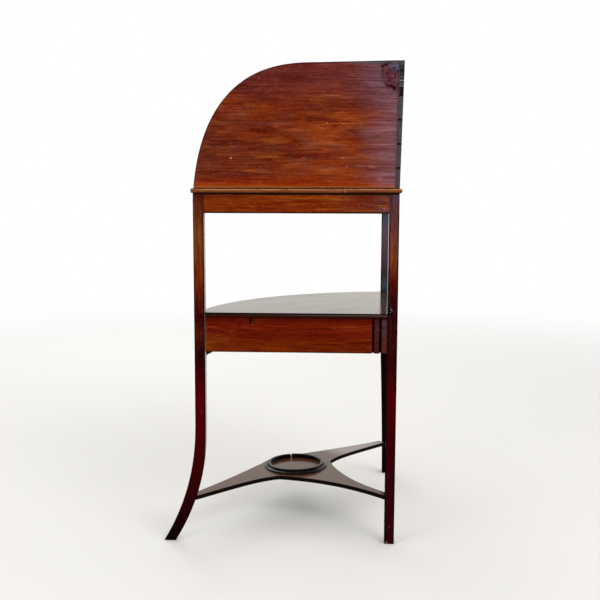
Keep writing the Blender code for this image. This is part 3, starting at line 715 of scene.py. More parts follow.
    def spot(self, place, size, tone, strength, turn, soft, frayed, deep):
        """An oval mark: its place and half sizes in metres on the face of the board, frayed by noise."""
        tree = self.tree
        source = self.grain
        if frayed:
            crumbs = add_node(tree, "ShaderNodeTexNoise",
                              {"Vector": self.grain, "Scale": 1 / 0.005, "Detail": 2.0}, 1)
            shift = add_node(tree, "ShaderNodeVectorMath", {0: crumbs, 1: (0.5, 0.5, 0.5)}, 0,
                             operation="SUBTRACT")
            feeds = {0: shift, 1: (frayed, frayed, 0), 2: self.grain}
            source = add_node(tree, "ShaderNodeVectorMath", feeds, 0, operation="MULTIPLY_ADD")
        feeds = {"Vector": source, "Location": (*place, 0), "Rotation": (0, 0, turn), "Scale": (*size, deep)}
        local = add_node(tree, "ShaderNodeMapping", feeds, 0, vector_type="TEXTURE")
        far = add_node(tree, "ShaderNodeVectorMath", {0: local}, "Value", operation="LENGTH")
        return self.stain(far, 1.0, soft, tone, strength)

    def spots(self, rows, origin, soft, frayed=0.0, deep=0.003, turn=0.0, tone=None, strength=1.0):
        """Several marks: each row has a centre and half sizes in millimetres from the origin, in metres, and
        may go on with a turn, a colour and a strength of its own, in place of the ones for all."""
        common = (turn, tone, strength)
        for along, up, long, wide, *own in rows:
            turn, tone, strength = (*own, *common[len(own):])
            place = (origin[0] + along / 1000, origin[1] + up / 1000)
            self.spot(place, (long / 1000, wide / 1000), tone, strength, turn, soft, frayed, deep)

    def worn(self, tone, strength=0.7, patch=0.02, least=0.0):
        """Arrises darkened or rubbed, more in some patches than in others."""
        wear = add_node(self.tree, "ShaderNodeAttribute", out="Fac", attribute_name="wear")
        patches = self.zone(self.patches(patch, patch), 0.35, 0.62)
        amount = add_node(self.tree, "ShaderNodeMapRange", {"Value": patches, "To Min": least}, 0)
        return self.stain(wear, 0.15, 0.85, tone, strength, 0.0, amount)

    def polished(self, roughness=0.34, coat=0.6, coat_roughness=0.10, relief=0.25, specular=0.02):
        """Shellac over the wood: a clear coat with its own gloss, and pores that it doesn't quite fill."""
        tree = self.tree
        feeds = {"Strength": relief, "Distance": 0.0002, "Height": self.pores}
        depth = add_node(tree, "ShaderNodeBump", feeds, 0, invert=True)
        dull = add_node(tree, "ShaderNodeMapRange",
                        stepped(self.cloud, 0.3, 0.7, roughness - 0.04, roughness + 0.06), 0)
        shader = add_node(tree, "ShaderNodeBsdfPrincipled", {
            "Base Color": self.colour, "Roughness": dull, "IOR": 1.5, "Specular IOR Level": specular,
            "Coat Weight": coat, "Coat Roughness": coat_roughness, "Coat IOR": 1.5, "Normal": depth}, 0)
        add_node(tree, "ShaderNodeOutputMaterial", {0: shader})
        return self.material


def metal(name, key, roughness, dimming):
    """Old turned metal: bright where it is handled, dull and brown in patches."""
    def make(colours, sizes):
        tone = getattr(colours, key)
        wood = Wood(name, sizes, tone, "object")
        tree = wood.tree
        patches = wood.patches(0.006, 0.006, 4.0)
        wood.stain(patches, 0.42, 0.68, toned(tone, dimming))
        rough = add_node(tree, "ShaderNodeMapRange",
                         stepped(patches, 0.35, 0.70, roughness, roughness + 0.22), 0)
        feeds = {"Strength": 0.15, "Distance": 0.0001, "Height": wood.patches(0.0009, 0.0009, 2.0)}
        depth = add_node(tree, "ShaderNodeBump", feeds, 0)
        shader = add_node(tree, "ShaderNodeBsdfPrincipled", {
            "Base Color": wood.colour, "Metallic": 1.0, "Roughness": rough, "Normal": depth}, 0)
        add_node(tree, "ShaderNodeOutputMaterial", {0: shader})
        return wood.material
    return make


def gallery_mahogany(name, colours, sizes):
    """Mahogany, planed and french polished, then faded: orange low down where the light has reached it,
    redder above, and a milky purple haze in the old polish towards the corner, partly a painted reflection."""
    wood = Wood(name, sizes, colours.board)
    base = top_high[2]
    wood.stain(0, 0.335, 0.420, "#622712", 0.85, 0.02)
    wood.stain(1, base + 0.190, base + 0.125, "#7e300c", 0.75, 0.012, wood.zone(0, 0.255, 0.165, 0.03))
    wood.stain(wood.patches(0.09, 0.028), 0.50, 0.66, "#551003", 0.75)
    wood.stain(wood.patches(0.10, 0.026, 2.0, wood.figure), 0.50, 0.36, "#8e4014", 0.60)
    wood.stain(wood.patches(0.045, 0.032, 4.0), 0.50, 0.66, "#6a3426", 0.55)
    wood.stain(1, base + 0.165, base + 0.240, "#5c2220", 0.85, 0.016)
    wood.stain(wood.patches(0.15, 0.045, 2.0), 0.52, 0.62, "#461010", 0.42)
    # Grey-mauve towards the corner and along the top: haze in the old polish, partly a painted reflection
    wood.stain(0, 0.105, 0.014, "#6e464c", 0.95, 0.018)
    wood.stain(1, base + 0.150, base + 0.240, "#5c3c44", 0.85, 0.015, wood.zone(0, 0.150, 0.040, 0.02))
    wood.stain(1, base + 0.236, base + 0.254, "#4a485c", 0.80, 0.003, wood.zone(0, 0.040, 0.024, 0.003))
    wood.stain(1, base + 0.2570, base + 0.2620, "#4c4347", 0.85, 0.0, wood.zone(0, 0.160, 0.070, 0.02))
    wood.stain(1, base + 0.030, base + 0.012, "#802602", 0.75, 0.003, wood.zone(0, 0.0, 0.10, 0.01))
    wood.figured(0.9, 0.50).flecked("#a4624c", 0.20)
    wood.stain(wood.patches(0.0035, 0.012, 3.0), 0.56, 0.70, "#4c1a0c", 0.30)
    wood.stain(1, base + 0.0100, base + 0.0050, "#994406", 0.45)
    # A pale line along the base: rubbed wear with a painted highlight on the lower arris.
    wood.stain(1, base + 0.0046, base + 0.0032, "#b3713e", 0.85)
    return wood.stain(1, base + 0.0020, base + 0.0008, "#6a3410", 0.8)


def gallery_polish(wood):
    """Black dirt on the upper arris only: the base is rubbed, and the corner joint is close."""
    above_base = wood.zone(1, top_high[2] + 0.004, top_high[2] + 0.008, 0.0, 0.92)
    open_edge = wood.zone(0, 0.012, 0.018, 0.0, above_base)
    wood.stain(0, gallery_thickness + 0.0026, gallery_thickness + 0.0012, "#524448", 0.7)
    return wood.worn("#1d1211", open_edge, 0.04, 0.6).polished(0.36, 0.22, 0.14, 0.25, 0.0)


def marked_gallery(colours, sizes):
    """The side that shows most: ink by the top corner, dark and pale streaks, nicks and scratches."""
    wood = gallery_mahogany("Faded mahogany board", colours, sizes)
    origin = (0, top_high[2])
    ink, navy, rust = "#26040f", "#2c2234", "#50140e"
    smudges = ((30, 235, 25, 34, 0.1, "#4a2028", 0.75), (22, 213, 26, 15, 0.5, "#4a2030", 0.65))
    blots = ((38.8, 258.4, 7.175, 4.725, -0.3, ink, 1), (45.9, 256.1, 7.175, 3.675, -0.1, ink, 0.95),
             (45.7, 249.8, 3.85, 8.05, 0, ink, 0.55), (45.4, 241.9, 2.8, 10.5, 0, ink, 0.45),
             (44.3, 233.2, 2.8, 6.475, 0, ink, 0.4), (36.5, 241.1, 6.475, 4.375, -0.1, ink, 0.75),
             (30.4, 248.1, 3.85, 3.85, 0, ink, 0.65), (30.8, 261.7, 6.825, 2.275, -0.1, navy, 0.85),
             (21.6, 250.5, 6.475, 5.95, 0.3, navy, 0.9), (13.8, 245.7, 3.325, 5.25, 0, navy, 0.8),
             (18.8, 238.6, 4.2, 4.2, 0, ink, 0.7), (19.3, 232.3, 2.625, 5.25, 0, ink, 0.4),
             (28.9, 229, 8.05, 3.15, -0.1, rust, 0.9), (32.8, 225.2, 5.95, 3.325, -0.5, rust, 0.8),
             (39, 218.9, 5.25, 2.625, 0.3, ink, 0.8), (34.5, 216.1, 5.425, 3.85, 0.3, ink, 0.85),
             (27.6, 214.9, 5.95, 4.375, 0.3, ink, 1), (21, 211.7, 6.825, 5.95, 0.6, ink, 1),
             (18.4, 206.9, 5.25, 3.85, 0, ink, 0.8), (15.7, 220.4, 9.1, 2.8, 0, ink, 0.6),
             (13.1, 215.6, 5.25, 6.475, 0, navy, 0.55), (46.2, 195.9, 6.475, 2.8, 0, ink, 0.4),
             (16.1, 187.9, 5.25, 3.325, 0, navy, 0.35))
    streaks = ((218, 166, 40, 5, 0, "#5e0f02", 0.55), (290, 109, 42, 3.6, 0, "#4a1206", 0.7),
               (300, 19, 90, 3.4, 0, "#660c03", 0.7), (190, 17.5, 50, 2.6, 0, "#6d1404", 0.5),
               (405, 17, 26, 4, 0, "#541004", 0.5), (130, 138, 52, 1.6, 0, "#b8662a", 0.55),
               (150, 196, 26, 1.6, 0, "#b06a44", 0.5), (142, 99, 48, 1.5, 0, "#b05a22", 0.4),
               (270, 137, 70, 6, 0, "#8c4c3c", 0.3), (110, 148, 30, 4, 0, "#97491a", 0.4),
               (370, 33, 50, 1.6, 0, "#9a5640", 0.35), (180, 228, 60, 3, 0, "#4e1c22", 0.45),
               (250, 238, 40, 5, 0, "#511a1c", 0.45), (200, 86, 90, 1.6, 0, "#9b4d1e", 0.3))
    nicks = ((306, 231.2, 1, 2.6, 0.1), (305.6, 211.4, 0.9, 1.4, 0), (364.1, 65.1, 3.4, 2.6, 0.6),
             (206.9, 65.2, 0.9, 3.4, -0.3), (123.5, 65.3, 6.6, 1.1, 0.05), (159.7, 138.9, 0.8, 3.6, 0.2),
             (115, 48, 1, 2.8, 0.5), (66, 48, 0.7, 4, 0.7), (62.2, 47, 0.7, 4.6, 0.7),
             (58.2, 46.2, 0.7, 4.4, 0.7), (54.5, 45.2, 0.6, 4, 0.6), (47, 20, 0.7, 5.6, 0.4),
             (41.5, 19.6, 0.7, 6, 0.4))
    wood.spots(smudges, origin, 0.1, 0.006)
    wood.spots([(18, 254, 18, 11, 0.2, "#50506a", 0.8)], origin, 0.1, 0.004)
    wood.spots(blots, origin, 0.25, 0.004)
    wood.spots([(24.7, 235.3, 4.4, 2.8, 0.1, "#8a5c58", 0.5)], origin, 0.2, 0.002)
    wood.spots(streaks, origin, 0.1, 0.004)
    wood.spots(nicks, origin, 0.2, tone="#c99c8c", strength=0.65)
    return gallery_polish(wood)


def leg_mahogany(name, sizes, stops):
    """Mahogany legs: orange where light has faded them, then red, and nearly black with stain at the foot.

    The stops give the colour at shares of the leg's height."""
    wood = Wood(name, sizes, "#400301")
    pushed = add_node(wood.tree, "ShaderNodeMath", {0: wood.cloud, 1: 0.05, 2: wood.axes[0]}, 0,
                      operation="MULTIPLY_ADD")
    share = add_node(wood.tree, "ShaderNodeMapRange",
                     {"Value": pushed, "From Min": 0.025, "From Max": top_low[2] + 0.025}, 0)
    wood.colour = add_node(wood.tree, "ShaderNodeValToRGB", {0: share}, 0, stops)
    wood.figured(0.8, 0.6)
    wood.stain(wood.patches(0.030, 0.006, 3.0), 0.53, 0.66, "#260403", 0.42)
    pale_flecks = wood.patches(0.012, 0.0017, 2.0, wood.figure)
    return wood.stain(pale_flecks, 0.52, 0.72, "#8a4a3e", 0.22, 0.0, wood.zone(0, 0.33, 0.50))


def leg_polish(wood, bloom=None):
    """Black on the arrises below the frieze, whose rails hide them above. A face may get a painted
    reflection.
    """
    strength = wood.zone(0, frieze_low[2] + 0.002, frieze_low[2] - 0.004, 0.0, 0.9)
    wood.worn("#0d0202", strength, 0.05, 0.65)
    # Where given, a painted reflection laid over one face.
    if bloom:
        wood.stain(wood.facing(0.45, 0.75, bloom[0]), 0.0, 1.0, bloom[2], 0.95, 0.0, bloom[1])
    return wood.polished(0.34, 0.22, 0.10, 0.2, 0.0)


made_finishes = {}


def finish_of(name):
    """The named finish, made when the first piece asks for it from the sizes and colours in the scene."""
    if name not in made_finishes:
        scene = bpy.context.scene
        made_finishes[name] = finishes[name](scene.washstand_colours, scene.washstand_sizes)
    return made_finishes[name]


def frieze_finish(colours, sizes):
    """Orange mahogany rail: faded in the middle, purple and dull at the corner leg."""
    wood = Wood("Faded mahogany rail", sizes, colours.rail)
    wood.stain(0, 0.17, 0.09, "#692814", 0.7, 0.012)
    wood.stain(0, 0.085, 0.025, "#583030", 0.9, 0.010)
    wood.stain(0, 0.375, 0.425, "#6c2808", 0.6, 0.006)
    wood.stain(wood.patches(0.06, 0.014, 2.0), 0.50, 0.38, "#843e08", 0.5)
    wood.stain(wood.patches(0.05, 0.012, 2.0, wood.figure), 0.54, 0.66, "#5c1602", 0.5)
    wood.figured(1.0)
    wood.spots(((254.9, 767.5, 1.2, 2.2), (390, 760, 12, 1.6), (300, 756, 20, 1.2), (230, 770, 26, 1.2)),
               (0, 0), 0.3, tone="#4c1203", strength=0.6)
    wood.spots(((86.8, 759.5, 1.4, 1, 0.2), (74, 761.7, 1, 1.2, 0.2), (50.5, 768.2, 1.6, 1, 0.2),
                 (33.2, 751.2, 4, 1.2, 0.2), (80, 764, 0.8, 1.6, 0.2)),
               (0, 0), 0.3, tone="#b08a80", strength=0.55)
    wood.flecked("#a0683c", 0.18)
    # A lighter line just under the top: a painted highlight on the frieze's upper arris.
    wood.stain(1, top_low[2] - 0.0030, top_low[2] - 0.0010, "#74421c", 0.5)
    wood.stain(1, frieze_low[2] + 0.0046, frieze_low[2] + 0.0022, "#2e1405", 0.85)
    return wood.worn("#1c0703", 0.85, 0.03, 0.6).polished(0.36, 0.25, 0.12, 0.25, 0.0)


def case_finish(colours, sizes, marked=True):
    """Red mahogany of the case side. The marked side has a split from its upper edge and worm holes."""
    low, high = side_low[2], side_high[2]
    wood = Wood("Red mahogany case" if marked else "Red mahogany far case", sizes, colours.case)
    wood.stain(1, low + 0.036, low + 0.012, "#642000", 0.7, 0.006)
    wood.stain(0, 0.34, 0.42, "#6a2a04", 0.8, 0.02, wood.zone(1, low + 0.050, low + 0.020))
    wood.stain(wood.patches(0.05, 0.016), 0.54, 0.66, "#4c0d04", 0.6)
    wood.stain(wood.patches(0.07, 0.02, 2.0), 0.46, 0.34, "#70260a", 0.5)
    wood.figured(1.3, 0.75).flecked("#8a4424", 0.16)
    # Painted shade: darker towards the top of the side, under the shelf.
    wood.stain(1, high - 0.018, high - 0.004, "#430402", 0.7, 0.002)
    wood.stain(1, high - 0.005, high, "#280803", 0.6, 0.001)
    wood.stain(1, low + 0.0030, low + 0.0010, "#381404", 0.7)
    if marked:
        wood.spots([(322.2, 506, 2.9, 10.5, 0.05)], (0, 0), 0.7, tone="#040101")
        wood.spots([(318.6, 497.5, 0.6, 4.8, 0.3)], (0, 0), 0.2, tone="#a04c24", strength=0.6)
        wood.spots(((386, 462.1, 1.5, 1.3), (365.5, 456.5, 1.5, 1.3), (326.8, 440.8, 1.5, 1.3),
                    (396, 470, 1.5, 1.3)),
                   (0, 0), 0.4, tone="#1c0402", strength=0.8)
        wood.spots([(419.5, 484.1, 1, 30)], (0, 0), 0.3, tone="#8a4632", strength=0.35)
    return wood.worn("#180503", 0.9, 0.03, 0.5).polished(0.36, 0.25, 0.12, 0.25, 0.0)


def strip_finish(colours, sizes):
    """The loose strips: the same wood, darker with the dirt of the open joints, with painted shade at their
    top under the shelf.
    """
    wood = Wood("Dirty mahogany strip", sizes, "#40180a")
    first_end = post_width + strip_widths[0]
    second = first_end + strip_gap
    second_end = second + strip_widths[1]
    wood.stain(0, second + 0.0036, second + 0.0014, "#480f20", 0.8)
    wood.stain(0, second_end - 0.0034, second_end - 0.0014, "#4a0d1b", 0.8)
    wood.stain(0, first_end + 0.0008, first_end, "#4e200e", 0.9)
    wood.stain(1, side_low[2] + 0.030, side_low[2] + 0.052, "#40262a", 0.9, 0.003,
               wood.zone(0, first_end + 0.0008, first_end))
    wood.figured(0.8, 0.5).flecked("#7a5450", 0.25)
    # Painted shade at the top of the strips, under the shelf.
    wood.stain(1, side_high[2] - 0.010, side_high[2], "#140403", 0.7, 0.001)
    return wood.worn("#150505", 0.9, 0.02, 0.6).polished(0.40, 0.35, 0.14)


def bow_finish(colours, sizes):
    """Red mahogany of the bowed pieces, picked for its livelier figure."""
    wood = Wood("Figured mahogany", sizes, toned(colours.case, 1.15))
    wood.stain(wood.patches(0.03, 0.05), 0.50, 0.62, "#7c2f0c", 0.5)
    return wood.figured(1.1).worn("#1c0603", 0.7, 0.03, 0.3).polished(0.30, 0.5, 0.08)


def rail_finish(colours, sizes):
    """The rail under the drawer: black painted shade on its lower faces, and black at both ends."""
    wood = Wood("Figured mahogany rail", sizes, toned(colours.case, 1.15)).figured(1.1)
    # Painted shade: the faces that turn downwards are black.
    wood.tint(wood.facing(-0.15, -0.45), "#0a0303", 0.97)
    shift = grain_step[0] * rail_seed
    for side in (1, -1):
        end = side * leg_reach(rail_middle) * rail_middle + shift
        wood.stain(0, end - side * 0.020, end - side * 0.008, "#0c0404", 0.9)
    return wood.worn("#1c0603", 0.7, 0.03, 0.3).polished(0.30, 0.5, 0.08)


# Legs by share of their height: black stain at the foot, red, dark beside the case, faded towards the top
leg_stops = ((0.0, "#000304"), (0.43, "#4e0003"), (0.55, "#170103"), (0.60, "#491008"), (0.655, "#2c0000"),
             (0.765, "#671f04"), (0.875, "#6b3610"), (1.0, "#451107"))
post_stops = ((0.0, "#250402"), (0.30, "#340004"), (0.43, "#480102"), (0.50, "#2f0405"), (0.71, "#2a0508"),
              (0.765, "#470b01"), (0.82, "#6d3016"), (1.0, "#442c36"))
# The far leg's inner face by share of its height: black painted shade below the shelf, then a grey-blue haze,
# partly a painted reflection
far_stops = ((0.0, "#060102"), (0.66, "#0a0405"), (0.69, "#3c4d58"), (0.73, "#3b2b39"), (0.88, "#644e5a"),
             (0.94, "#3d5260"), (1.0, "#3c4d5c"))


def leg_finish(colours, sizes):
    """The near leg, with a pale painted reflection on the upright part of its inner face."""
    wood = leg_mahogany("Dark mahogany leg", sizes, leg_stops)
    wood.spots(((700, 435, 6, 1.2), (735, 430, 4, 1), (620, 437, 5, 1), (300, 433, 4, 0.8)),
               (0, 0), 0.3, 0.002, 0.02, tone="#9a6a38", strength=0.4)
    below = wood.zone(0, frieze_low[2] + 0.001, frieze_low[2] - 0.004)
    inner_edge = side_length - leg_width
    wood.stain(1, inner_edge + 0.0044, inner_edge + 0.0022, "#0e0304", 0.85, 0.0, below)
    upright_part = wood.zone(0, 0.19, 0.25, 0.0, below)
    # Pale grey #bcc0c4 on the upright part of the inner face is a painted reflection.
    return leg_polish(wood, ((-1 / root2, 1 / root2, 0), upright_part, "#bcc0c4"))


def far_leg_finish(colours, sizes):
    """The far leg: its inner face has a grey haze in the polish above the shelf, partly a painted reflection,
    and black painted shade below it.
    """
    wood = leg_mahogany("Bloomed mahogany leg", sizes, leg_stops)
    # Painted light on the inner face: black shade below the shelf, grey-blue haze and reflection above it.
    share = add_node(wood.tree, "ShaderNodeMath", {0: wood.axes[0], 1: top_low[2]}, 0, operation="DIVIDE")
    bloom = add_node(wood.tree, "ShaderNodeValToRGB", {0: share}, 0, far_stops)
    wood.tint(wood.facing(0.55, 0.85, (1 / root2, 1 / root2, 0)), bloom, 0.95)
    return leg_polish(wood)


def post_finish(colours, sizes):
    """The corner leg, chipped beside the shelf with painted highlights in the chips, and rubbed pale at the
    foot.
    """
    wood = leg_mahogany("Dark mahogany post", sizes, post_stops)
    by_shelf = (shelf_high[2], 0)
    chips = ((7.2, 16.8, 11.2, 5.8, 0, "#050407", 1), (14, 15, 5.2, 3.6, 0, "#050407", 0.9),
             (1, 13.8, 3.6, 4, 0, "#050407", 0.8))
    chip_highlights = ((10, 14.6, 1.4, 1.8, 0.3), (15, 15.8, 0.8, 1.2, 0.3), (6.6, 12.8, 1, 1.1, 0.3),
             (3.4, 16, 0.9, 1.2, 0.3))
    scuffs = ((4, 16.5, 2.6, 3, 0.2, "#a88068"), (41.1, 11.9, 2.8, 1.6, 0.2, "#96605a"),
              (32.9, 12.8, 3, 1.4, 0.2, "#74401c"), (160, 16, 4, 1.2, 0.2, "#5c2830"),
              (215, 18, 3, 1, 0.2, "#54202a"), (723.5, 9.2, 1, 2.6, 0.2, "#9a7070"),
              (678.3, 14.9, 5, 0.8, 0.2, "#a05040"), (125, 6, 3, 1, 0.2, "#4c2438"))
    wood.spots(chips, by_shelf, 0.65, 0.003, 0.02)
    # Pale bluish painted highlights in the chips.
    wood.spots(chip_highlights, by_shelf, 0.3, 0.002, 0.02, tone="#b9b4bc", strength=0.7)
    below = wood.zone(0, frieze_low[2] + 0.001, frieze_low[2] - 0.004)
    for edge, inner in ((0.0014, 0.0036), (post_width - 0.0010, post_width - 0.0030)):
        wood.stain(1, inner, edge, "#0c0304", 0.85, 0.0, below)
    wood.spots(scuffs, (0, 0), 0.3, 0.001, strength=0.6)
    return leg_polish(wood)


def top_finish(colours, sizes):
    """French-polished boards that mirror the room at a low angle; their edges are black with old polish, and
    on the basin top's edge under the bead this black is also painted shade.
    """
    wood = Wood("French polished mahogany", sizes, colours.top).figured(0.9)
    # Black edges: old polish, and painted shade on the basin top's edge under the bead.
    wood.tint(wood.facing(0.75, 0.35), "#120806", 0.92)
    return wood.worn("#120806", 0.5).polished(0.18, 0.3, 0.08, 0.08)


def edge_finish(name, tone, specular, roughness, figure, line=(), bloom=()):
    """Stretcher or shelf: a polished face, and an upright edge stained black.

    The edge may have a grey line that fades away from the corner, over dark red wood. A painted reflection
    may lie grey on the face, between two places along it."""
    def make(colours, sizes):
        wood = Wood(name, sizes, tone).figured(figure)
        # A grey painted reflection on the face, between two places along it.
        if bloom:
            start, finish = (grain_step[0] * stretcher_seed + place for place in bloom)
            wood.stain(0, start, finish, "#b4aeac", 0.5)
        wood.tint(wood.facing(0.97, 0.85), colours.ebony, 0.985)
        if line:
            low, high = line
            edge = wood.facing(0.5, 0.2)
            wood.stain(2, high, high - 0.0006, "#300e06", 0.9, 0.0, edge)
            near_corner = wood.zone(0, 0.27, 0.03, 0.0, edge)
            below_top = wood.zone(2, high, high - 0.0006, 0.0, near_corner)
            wood.stain(2, low, low + 0.0006, "#5e5450", 0.8, 0.0, below_top)
        return wood.polished(roughness, 0.0, 0.06, 0.06, specular)
    return make


def bead_finish(colours, sizes):
    """Half-round bead: rubbed pale along its crown with a painted highlight there, painted shade above it and
    low down, and a black painted shadow under it.
    """
    wood = Wood("Rubbed mahogany bead", sizes, "#70391c").figured(0.9)
    # The crown: rubbed wear and a painted highlight.
    rubbed_and_lit_crown = wood.zone(wood.patches(0.05, 0.02), 0.30, 0.55, 0.0, wood.facing(0.26, 0.40))
    wood.tint(rubbed_and_lit_crown, "#bc866a", 0.85)
    # Painted shade on the upper face and low down, and a black painted shadow on the underside.
    wood.tint(wood.facing(0.58, 0.70), "#4c200c", 0.92)
    wood.tint(wood.facing(-0.58, -0.76), "#542610", 0.9)
    wood.tint(wood.facing(-0.88, -0.98), "#140202", 0.97)
    wear = add_node(wood.tree, "ShaderNodeAttribute", out="Fac", attribute_name="wear")
    wood.stain(wear, 0.4, 0.9, "#a07060", 0.55)
    return wood.polished(0.50, 0.0, 0.2, 0.2, 0.0)


def ebony_finish(colours, sizes):
    """Ebonised turning: black stain under a full gloss, rubbed brown here and there."""
    wood = Wood("Ebonised ring", sizes, colours.ebony).figured(0.3)
    return wood.worn("#1c1210", 0.4, 0.012).polished(0.20, 0.45, 0.04, 0.05, 0.02)


def end_finish(colours, sizes):
    """End grain of the dovetails, grey with old polish, and ink over the two upper ones."""
    wood = Wood("Mahogany end grain", sizes, "#4a4245")
    wood.stain(wood.patches(0.02, 0.004), 0.42, 0.62, "#3a3236", 0.6)
    wood.figured(0.4)
    stains = ((0, 245.5, 20, 15, 0, "#262432", 0.85), (0, 205.5, 20, 12.5, 0, "#150f1c", 0.95),
              (0, 226.2, 20, 1.4, 0, "#8a8288", 0.85), (0, 229, 20, 1.6, 0, "#0c0c14", 0.9),
              (0, 223.6, 20, 1, 0, "#101018", 0.85), (0, 256.5, 20, 1, 0, "#08080c", 0.95),
              (0, 104, 20, 0.9, 0, "#141214", 0.7), (0, 214, 20, 1.4, 0, "#6c666c", 0.6))
    wood.spots(stains, (0, top_high[2]), 0.6, 0.0, 0.02)
    return wood.worn("#1b181b", 0.7, 0.010, 0.3).polished(0.50, 0.2, 0.2, 0.2)


def pin_finish(colours, sizes):
    """The slim pins between the tails, black in their joints."""
    return Wood("Black dovetail pins", sizes, "#0e0b0d").figured(0.3).polished(0.5, 0.1, 0.2, 0.2)


def oak_finish(colours, sizes):
    """Bare quarter-sawn oak, planed and never polished."""
    wood = Wood("Planed oak", sizes, colours.oak).figured(0.45)
    return wood.worn("#6a4c30", 0.4).polished(0.62, 0.0, 0.3, 0.5, 0.15)


def bare_finish(name, key, darkness=1.0):
    """Sawn wood that was never polished, for the pieces inside."""
    def make(colours, sizes):
        wood = Wood(name, sizes, toned(getattr(colours, key), darkness), "object")
        return wood.figured(0.4).polished(0.70, 0.0, 0.3, 0.5, 0.15)
    return make


finishes = {
    "near_gallery": marked_gallery,
    "far_gallery": lambda *given: gallery_polish(gallery_mahogany("Faded mahogany far board", *given)),
    "frieze": frieze_finish,
    "case": case_finish,
    "far_case": lambda *given: case_finish(*given, False),
    "strip": strip_finish,
    "bow": bow_finish,
    "rail": rail_finish,
    "leg": leg_finish,
    "far_leg": far_leg_finish,
    "post": post_finish,
    "top": top_finish,
    "bead": bead_finish,
    "shelf": edge_finish("Black edged shelf", "#482c1c", 0.42, 0.13, 0.45,
                         (shelf_high[2] - 0.0052, shelf_high[2] - 0.0032)),
    "stretcher": edge_finish("Black edged stretcher", "#52301e", 0.18, 0.12, 0.5, bloom=(-0.115, -0.185)),
    "ebony": ebony_finish,
    "end": end_finish,
    "pin": pin_finish,
    "oak": oak_finish,
    "bare_oak": bare_finish("Sawn oak", "oak"),
    "pine": bare_finish("Sawn pine", "pine"),
    # The batten behind the strips' open joints: pine painted near black, as painted shade in the gaps.
    "batten": bare_finish("Blackened pine", "pine", 0.012),
    "brass": metal("Turned brass", "brass", 0.22, 0.35),
    "iron": metal("Blued iron", "iron", 0.45, 0.4),
}


# One operator for each piece or group of like pieces


class WASHSTAND_OT_corner_leg(bpy.types.Operator):
    """Square corner leg, a little worn on its arrises and more at the foot"""
    bl_idname = "washstand.corner_leg"
    bl_label = "Corner leg"

    def execute(self, context):
        sizes = context.scene.washstand_sizes
        surface = bar([0, top_low[2]], (0, 0), (post_width, post_width), sizes.ease, sizes.wear_width)
        make_piece("corner_post", surface, upright(1), face_grain, "post", "corner_leg")
        return {"FINISHED"}


class WASHSTAND_OT_front_legs(bpy.types.Operator):
    """Front legs: straight to the knee, then swept out along the side and tapered across it"""
    bl_idname = "washstand.front_legs"
    bl_label = "Front legs"

    def execute(self, context):
        sizes = context.scene.washstand_sizes
        heights = np.concatenate([np.linspace(0, knee_height, 45), [side_low[2], top_low[2]]])
        outer, inner = leg_edges(heights)
        marks = [0, side_low[2], top_low[2]]
        back = np.interp(heights, marks, [-foot_lean, 0, 0])
        front = np.interp(heights, marks, [foot_depth - foot_lean, leg_depth, leg_depth])
        low, high = np.stack([inner, back], 1), np.stack([outer, front], 1)
        surface = bar(heights, low, high, sizes.ease, sizes.wear_width)
        for side, word, finish in ((1, "right", "leg"), (-1, "left", "far_leg")):
            make_piece(f"swept_leg_{word}", surface, upright(side), face_grain, finish,
                       f"front_leg_{word}")
        return {"FINISHED"}


class WASHSTAND_OT_frieze(bpy.types.Operator):
    """Two straight rails and the bow rail under the top"""
    bl_idname = "washstand.frieze"
    bl_label = "Frieze rails"

    def execute(self, context):
        sizes = context.scene.washstand_sizes
        reach = (post_width + gap, side_length - leg_width - gap)
        low, high = (0, frieze_low[2]), (frieze_thickness, top_low[2])
        surface = bar(reach, low, high, sizes.ease, sizes.wear_width, gap / 2, 0.0)
        for side, word in hands:
            make_piece(f"frieze_rail_{word}", surface, on_side(side), along_grain, "frieze",
                       f"frieze_{word}")
        middle = frieze_radius - frieze_thickness / 2
        half = leg_reach(middle) * middle
        surface = bar(np.linspace(-half, half, 61), (frieze_radius - frieze_thickness, low[1]),
                      (frieze_radius, high[1]), sizes.ease, sizes.wear_width)
        make_piece("frieze_rail_bow", surface, on_bow(middle), along_grain, "bow",
                   "frieze_bow", seed=3)
        return {"FINISHED"}


class WASHSTAND_OT_basin_top(bpy.types.Operator):
    """Basin top with a hole for the basin and one for a cup on each side"""
    bl_idname = "washstand.basin_top"
    bl_label = "Basin top"

    def execute(self, context):
        sizes = context.scene.washstand_sizes
        ends = diagonal - math.asin(bow_offset / top_radius)
        outline = softened([(0, 0), *bow_line(top_radius, ends, -ends, 90)], sizes.ease)
        front = top_radius - bow_back
        basin_y = -basin_place_share * front
        basin_radius = front + basin_y - basin_margin
        cup_reach = basin_radius + cup_web + cup_radius
        holes = [circle(0, basin_y, basin_radius, 96)]
        for side in (1, -1):
            holes.append(circle(side * cup_reach * math.cos(cup_turn),
                                basin_y + cup_reach * math.sin(cup_turn), cup_radius, 56))
        surface = board(outline, top_low[2], top_high[2], sizes.fine_ease / 2, sizes.wear_width, holes)
        make_piece("basin_top", surface, flat, face_grain, "top", "washtop", seed=5)
        return {"FINISHED"}


